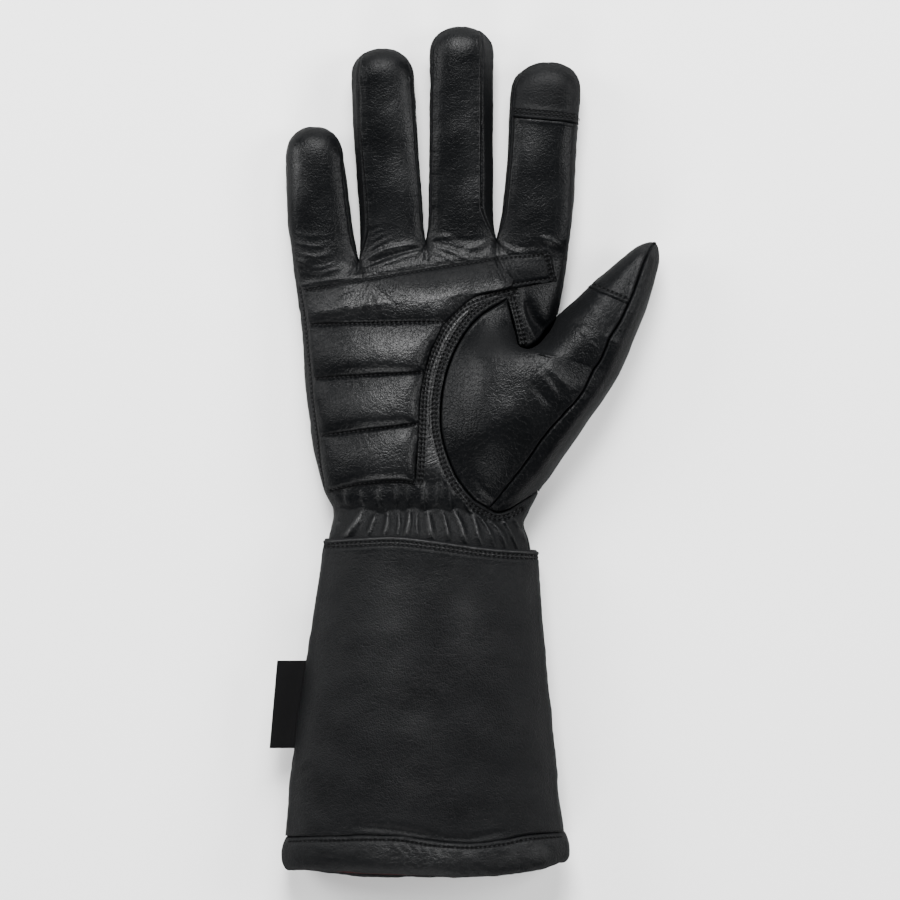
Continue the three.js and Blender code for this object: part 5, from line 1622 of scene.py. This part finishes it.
tab_lines = [(mix(tab_top[0], tab_top[-1], 0.09), 1), (mix(tab_top[0], tab_top[-1], 0.88), 1),
             (mix(tab_top[:, 0], tab_top[:, -1], 0.91), 2)]
tab = overlay("index_tab", "tab_stitches", tab_top, tab_bottom, hand_leather, tab_edge, tab_lines, TAB_FOLDS,
              91, 0.15, np.full(tab_top.shape[:2], TAB_GLOSS))


# Cuff
# Two long panels of heavier, smoother leather with a seam at each side. The upper edge is turned
# in and sewn over the wrist with two rows of stitches.

cuff_leather = leather("cuff_leather", (0.0021, 0.0023, 0.0026), 0.41, grain=1.1,
                       depth=(1.4, 1.4, 0.0, 1.0))
cuff_at = section(
    [-36, -64, -90, -116, -142, -170, -190],
    left=[-61.0, -64.8, -68.5, -72.2, -75.4, -77.6, -78.6],
    right=[30.9, 32.6, 34.8, 37.4, 40.0, 43.6, 45.4],
    side=[15.6, 16, 16.5, 17, 17.5, 18, 18],
    top=[36.6, 38.5, 39.8, 40.8, 41.4, 41.8, 42],
    floor=[0, 0, 0, 0, 0, 0, 0],
)
cuff_top_at = through([0, 0.18, 0.34, 0.53, 0.79, 1], [-37.4, -36.4, -35.9, -37.8, -41.0, -42.4])
hem_line_at = through([0, 0.3, 0.4, 0.52, 0.65, 0.77, 0.86, 1],
                      [-166.2, -164.8, -165.0, -167.2, -168.3, -167.2, -165.0, -164.1])
CUFF_LENGTH_ROWS = 170
CUFF_COLUMNS = 150
CUFF_BACK_ROWS = 80
CUFF_BACK_COLUMNS = 110
CUFF_WALL = 1.6


def cuff_point(share, y, height_of):
    """Place on the cuff's front or back at a share of its width."""
    s = cuff_at(y)
    return xyz(mix(s["left"], s["right"], share), y, height_of(s, 2 * share - 1))


def cuff_grid(rows, columns, height_of):
    """Front or back of the cuff, with its rows closer together near the turned upper edge."""
    share = crowded(column_steps(columns))
    y = mix(cuff_top_at(share), hem_line_at(share), row_steps(rows) ** 1.25)
    return cuff_point(share, y, height_of)


CUFF_ROWS = (2.35, 3.85)
CUFF_FOLDS = [
    (-47.5, -161, -29, -163, -12.5, -165.5, 1.2, -1.2),
    (-12.5, -165.5, 2, -166.5, 17, -163.5, 1.2, -1.0),
    (-37, -158.5, -27.5, -159, -18, -160.5, 2.4, 0.3),
    (-72.5, -137, -70, -134.5, -67, -131, 1.6, 0.35),
    (-71.5, -140.5, -69.5, -139, -66.5, -136, 1.6, -0.25),
]


def cuff_folds(points):
    """Broad upright waves of the loose leather, the folds above the hem and the turned edge."""
    upright = 0.34 * waves(points * [1, 0.12, 0.3], 34, 104) + 0.12 * waves(points, 13, 105)
    edge, _ = near(points, cuff_front_grid[0], 6.0)
    turned = 0.35 * hump(edge, 1.2, 0.8) - 0.9 * hump(edge, 0, 0.7)
    for row in CUFF_ROWS:
        turned -= 0.3 * hump(edge, row, 0.45)
    return upright + folded(points, CUFF_FOLDS) + turned


# Rubbed places down the front of the cuff
CUFF_GLOSS = [
    (-31, -46, -32, -75, -34, -108, 10.0, 0.1),
    (-2, -58, 0, -72, 3, -90, 7.0, 0.1),
    (-20, -100, -22, -125, -25, -150, 12.0, 0.05),
]


def cuff_shine(points):
    """Two long patches down the front are rubbed glossier, and so are the turned edge and the
    ridge between its rows of stitches."""
    edge, _ = near(points, cuff_front_grid[0], 6.0)
    ridges = hump(edge, 1.1, 0.5) + hump(edge, np.mean(CUFF_ROWS), 0.4)
    return folded(points, CUFF_GLOSS) + 0.4 * ridges


cuff_front_grid = cuff_grid(CUFF_LENGTH_ROWS, CUFF_COLUMNS, upper)
top_line = cuff_front_grid[0]
cuff_lines = [(top_line[4:-4] - np.array([0, 3.1, 0]), 2)]
cuff_sides = [cuff_front_grid[:, 0], cuff_front_grid[:, -1]]
skin("cuff_front", [cuff_front_grid], cuff_leather, "cuff_front", cuff_sides, cuff_lines, 101,
     wall=CUFF_WALL, broad=0.1, rounds=1, more=cuff_folds, shine=cuff_shine)
cuff_back_grid = cuff_grid(CUFF_BACK_ROWS, CUFF_BACK_COLUMNS, lower)
skin("cuff_back", [cuff_back_grid[:, ::-1]], cuff_leather, "cuff_back",
     [cuff_back_grid[:, 0], cuff_back_grid[:, -1]], [], 111, wall=CUFF_WALL, broad=0.15, rounds=1)


# Hem and lining edge
# The lower edge of the cuff is turned in over a band and stitched all round. The lining, a dark
# red cloth, ends just inside it.

hem_front_at = through([0, 0.2, 0.5, 0.68, 0.85, 1], [-180.6, -180.8, -182.2, -183.1, -181.2, -177.6])
hem_back_at = through([0, 0.2, 0.4, 0.65, 0.85, 1], [-180.6, -184.0, -185.2, -184.9, -182.4, -177.6])
HEM_PROFILE = [(0.02, -1.9), (0.02, -0.3), (0.14, 0.9), (0.45, 1.7), (0.8, 1.3), (1.0, -0.7), (0.93, -2.3),
               (0.5, -2.6)]
LINING_PROFILE = [(0.62, -4.0), (0.62, -3.0), (0.94, -3.0), (0.94, -4.0)]
MOUTH_STEPS = 330
HEM_SIDES = 40


def share_round(turn):
    """Share of the cuff's width at a turn round it, and whether that is on the front: the turn runs
    over the front from left to right, then back beneath."""
    front = turn <= 0.5
    return crowded(np.where(front, 2 * turn, 2 - 2 * turn)), front


def round_cuff(turn, y):
    """Place round the cuff."""
    share, front = share_round(turn)
    s = cuff_at(y)
    height = np.where(front, upper(s, 2 * share - 1), lower(s, 2 * share - 1))
    return xyz(mix(s["left"], s["right"], share), y, height)


def mouth_ring(down, out):
    """Ring round the mouth whose cross-section is a closed outline of depth and distance out."""
    turn = (np.arange(MOUTH_STEPS) / MOUTH_STEPS)[:, None]
    share, front = share_round(turn)
    y = mix(hem_line_at(share), np.where(front, hem_front_at(share), hem_back_at(share)), down[None, :])
    reach = 0.5 / 36
    here = round_cuff(turn, y)
    run = round_cuff((turn + reach) % 1, y) - round_cuff((turn + 1 - reach) % 1, y)
    run /= np.linalg.norm(run, axis=-1, keepdims=True)
    here[..., 0] -= run[..., 2] * out[None, :]
    here[..., 2] += run[..., 0] * out[None, :]
    here[..., 2] = np.maximum(here[..., 2], 0)
    return here


def ring_faces(turns, sides):
    """Triangles of a closed ring of points, numbered along its cross-section and then round it."""
    number = np.arange(turns * sides).reshape(turns, sides)
    ahead = np.roll(number, -1, 0)
    return np.concatenate(triangles(number, np.roll(number, -1, 1), np.roll(ahead, -1, 1), ahead))


def closed_curve(points, count):
    """Smooth closed outline through the points."""
    points = np.array(points, float)
    wrapped = np.concatenate([points[-2:], points, points[:3]])
    at = np.linspace(2, 2 + len(points), count, endpoint=False)
    return [through(np.arange(len(wrapped)), column)(at) for column in wrapped.T]


HEM_FOLDS = [
    (-33, -166.5, -30, -169.5, -27.5, -173.5, 0.7, 0.45),
    (-29, -166.5, -25.5, -170, -22.5, -173.5, 0.7, 0.5),
    (-25, -167, -21.5, -170, -18.5, -174.5, 0.7, 0.45),
    (-21.5, -167.5, -18, -170.5, -14, -175, 0.7, 0.4),
    (-16.5, -168.5, -13.5, -171.5, -10.5, -175, 0.8, 0.35),
]
# Rubbed places of the hem
HEM_GLOSS = [
    (-42, -172, -20, -174, 8, -175, 4.5, 0.26),
    (14, -174, 26, -174, 38, -172, 4.0, 0.2),
]
hem_down, hem_out = closed_curve(HEM_PROFILE, HEM_SIDES)
hem_grid = mouth_ring(hem_down, hem_out)
hem_faces = ring_faces(*hem_grid.shape[:2])
hem_points = hem_grid.reshape(-1, 3)
hem_share = np.linspace(0.02, 0.98, 160)
hem_row = cuff_point(hem_share, hem_line_at(hem_share) - 2.2, upper) + np.array([0, 0, 0.9])
height = 0.15 * waves(hem_points, 12, 121) + 0.06 * waves(hem_points, 4, 122)
facing = np.clip(normals_of(hem_points, hem_faces)[:, 2], 0, 1)
hem_lines = [(hem_row, 1)]
hem_sewn, valley = sewing(hem_points, hem_lines)
hem_sewn[:, 2] *= facing > 0.2
height += facing * (folded(hem_points, HEM_FOLDS) + valley)
hem_points = raised(hem_points, hem_faces, height)
from_row, along_row = near(hem_points, hem_row, SEAM_REACH)
hem_pucker = xyz(along_row, from_row, 0.5 * np.exp(-from_row / 3))
piece("cuff_hem", hem_points, hem_faces, cuff_leather, ("cuff_hem",), pucker=hem_pucker,
      sewn=hem_sewn, shine=folded(hem_points, HEM_GLOSS))
stitches("hem_stitches", hem_lines, hem_points, normals_of(hem_points, hem_faces))

lining = fine_cloth("red_lining", (0.05, 0.0045, 0.006, 1), "ShaderNodeTexNoise", None, {"Scale": 1800.0},
                    0.6, 0.0002, Roughness=0.85)
lining_down, lining_out = np.array(LINING_PROFILE).T
lining_grid = mouth_ring(lining_down, lining_out)
piece("lining_edge", lining_grid.reshape(-1, 3), ring_faces(*lining_grid.shape[:2]), lining,
      ("lining_edge",), smooth=False)


# Side label
# A black woven ribbon, folded double, whose ends are caught in the cuff's left seam.

LABEL_ENDS = (-90.3, -128.3)
LABEL_OUTER = (-81.5, -84.8)
LABEL_ROWS = 40
LABEL_COLUMNS = 48
LABEL_FOLD = [(0, 1), (0.5, 1), (0.94, 0.9), (1, 0), (0.94, -0.9), (0.5, -1), (0, -1)]
label_cloth = fine_cloth("woven_ribbon", (0.0016, 0.0016, 0.0018, 1), "ShaderNodeTexWave",
                         {"wave_type": "BANDS", "bands_direction": "Y"},
                         {"Scale": 900.0, "Distortion": 0.4, "Detail": 1.0}, 0.5, 0.00008,
                         Roughness=0.7, Specular_IOR_Level=0.06)
t = row_steps(LABEL_ROWS)
reach, level = (column[None, :] for column in sampled(LABEL_FOLD, LABEL_COLUMNS + 1).T)
y = mix(*LABEL_ENDS, t)
label_row = cuff_at(y)
label_x = mix(label_row["left"] + 1.3, mix(*LABEL_OUTER, t), reach)
label_z = label_row["side"] + 1.2 * reach**2 + 0.9 * level + 0.25 * np.sin(4.2 * t) * reach
label_grid = xyz(label_x, y, label_z)
label_points, label_faces = joined([label_grid[:, ::-1]])
piece("side_label", label_points, label_faces, label_cloth, ("side_label",), wall=0.55)
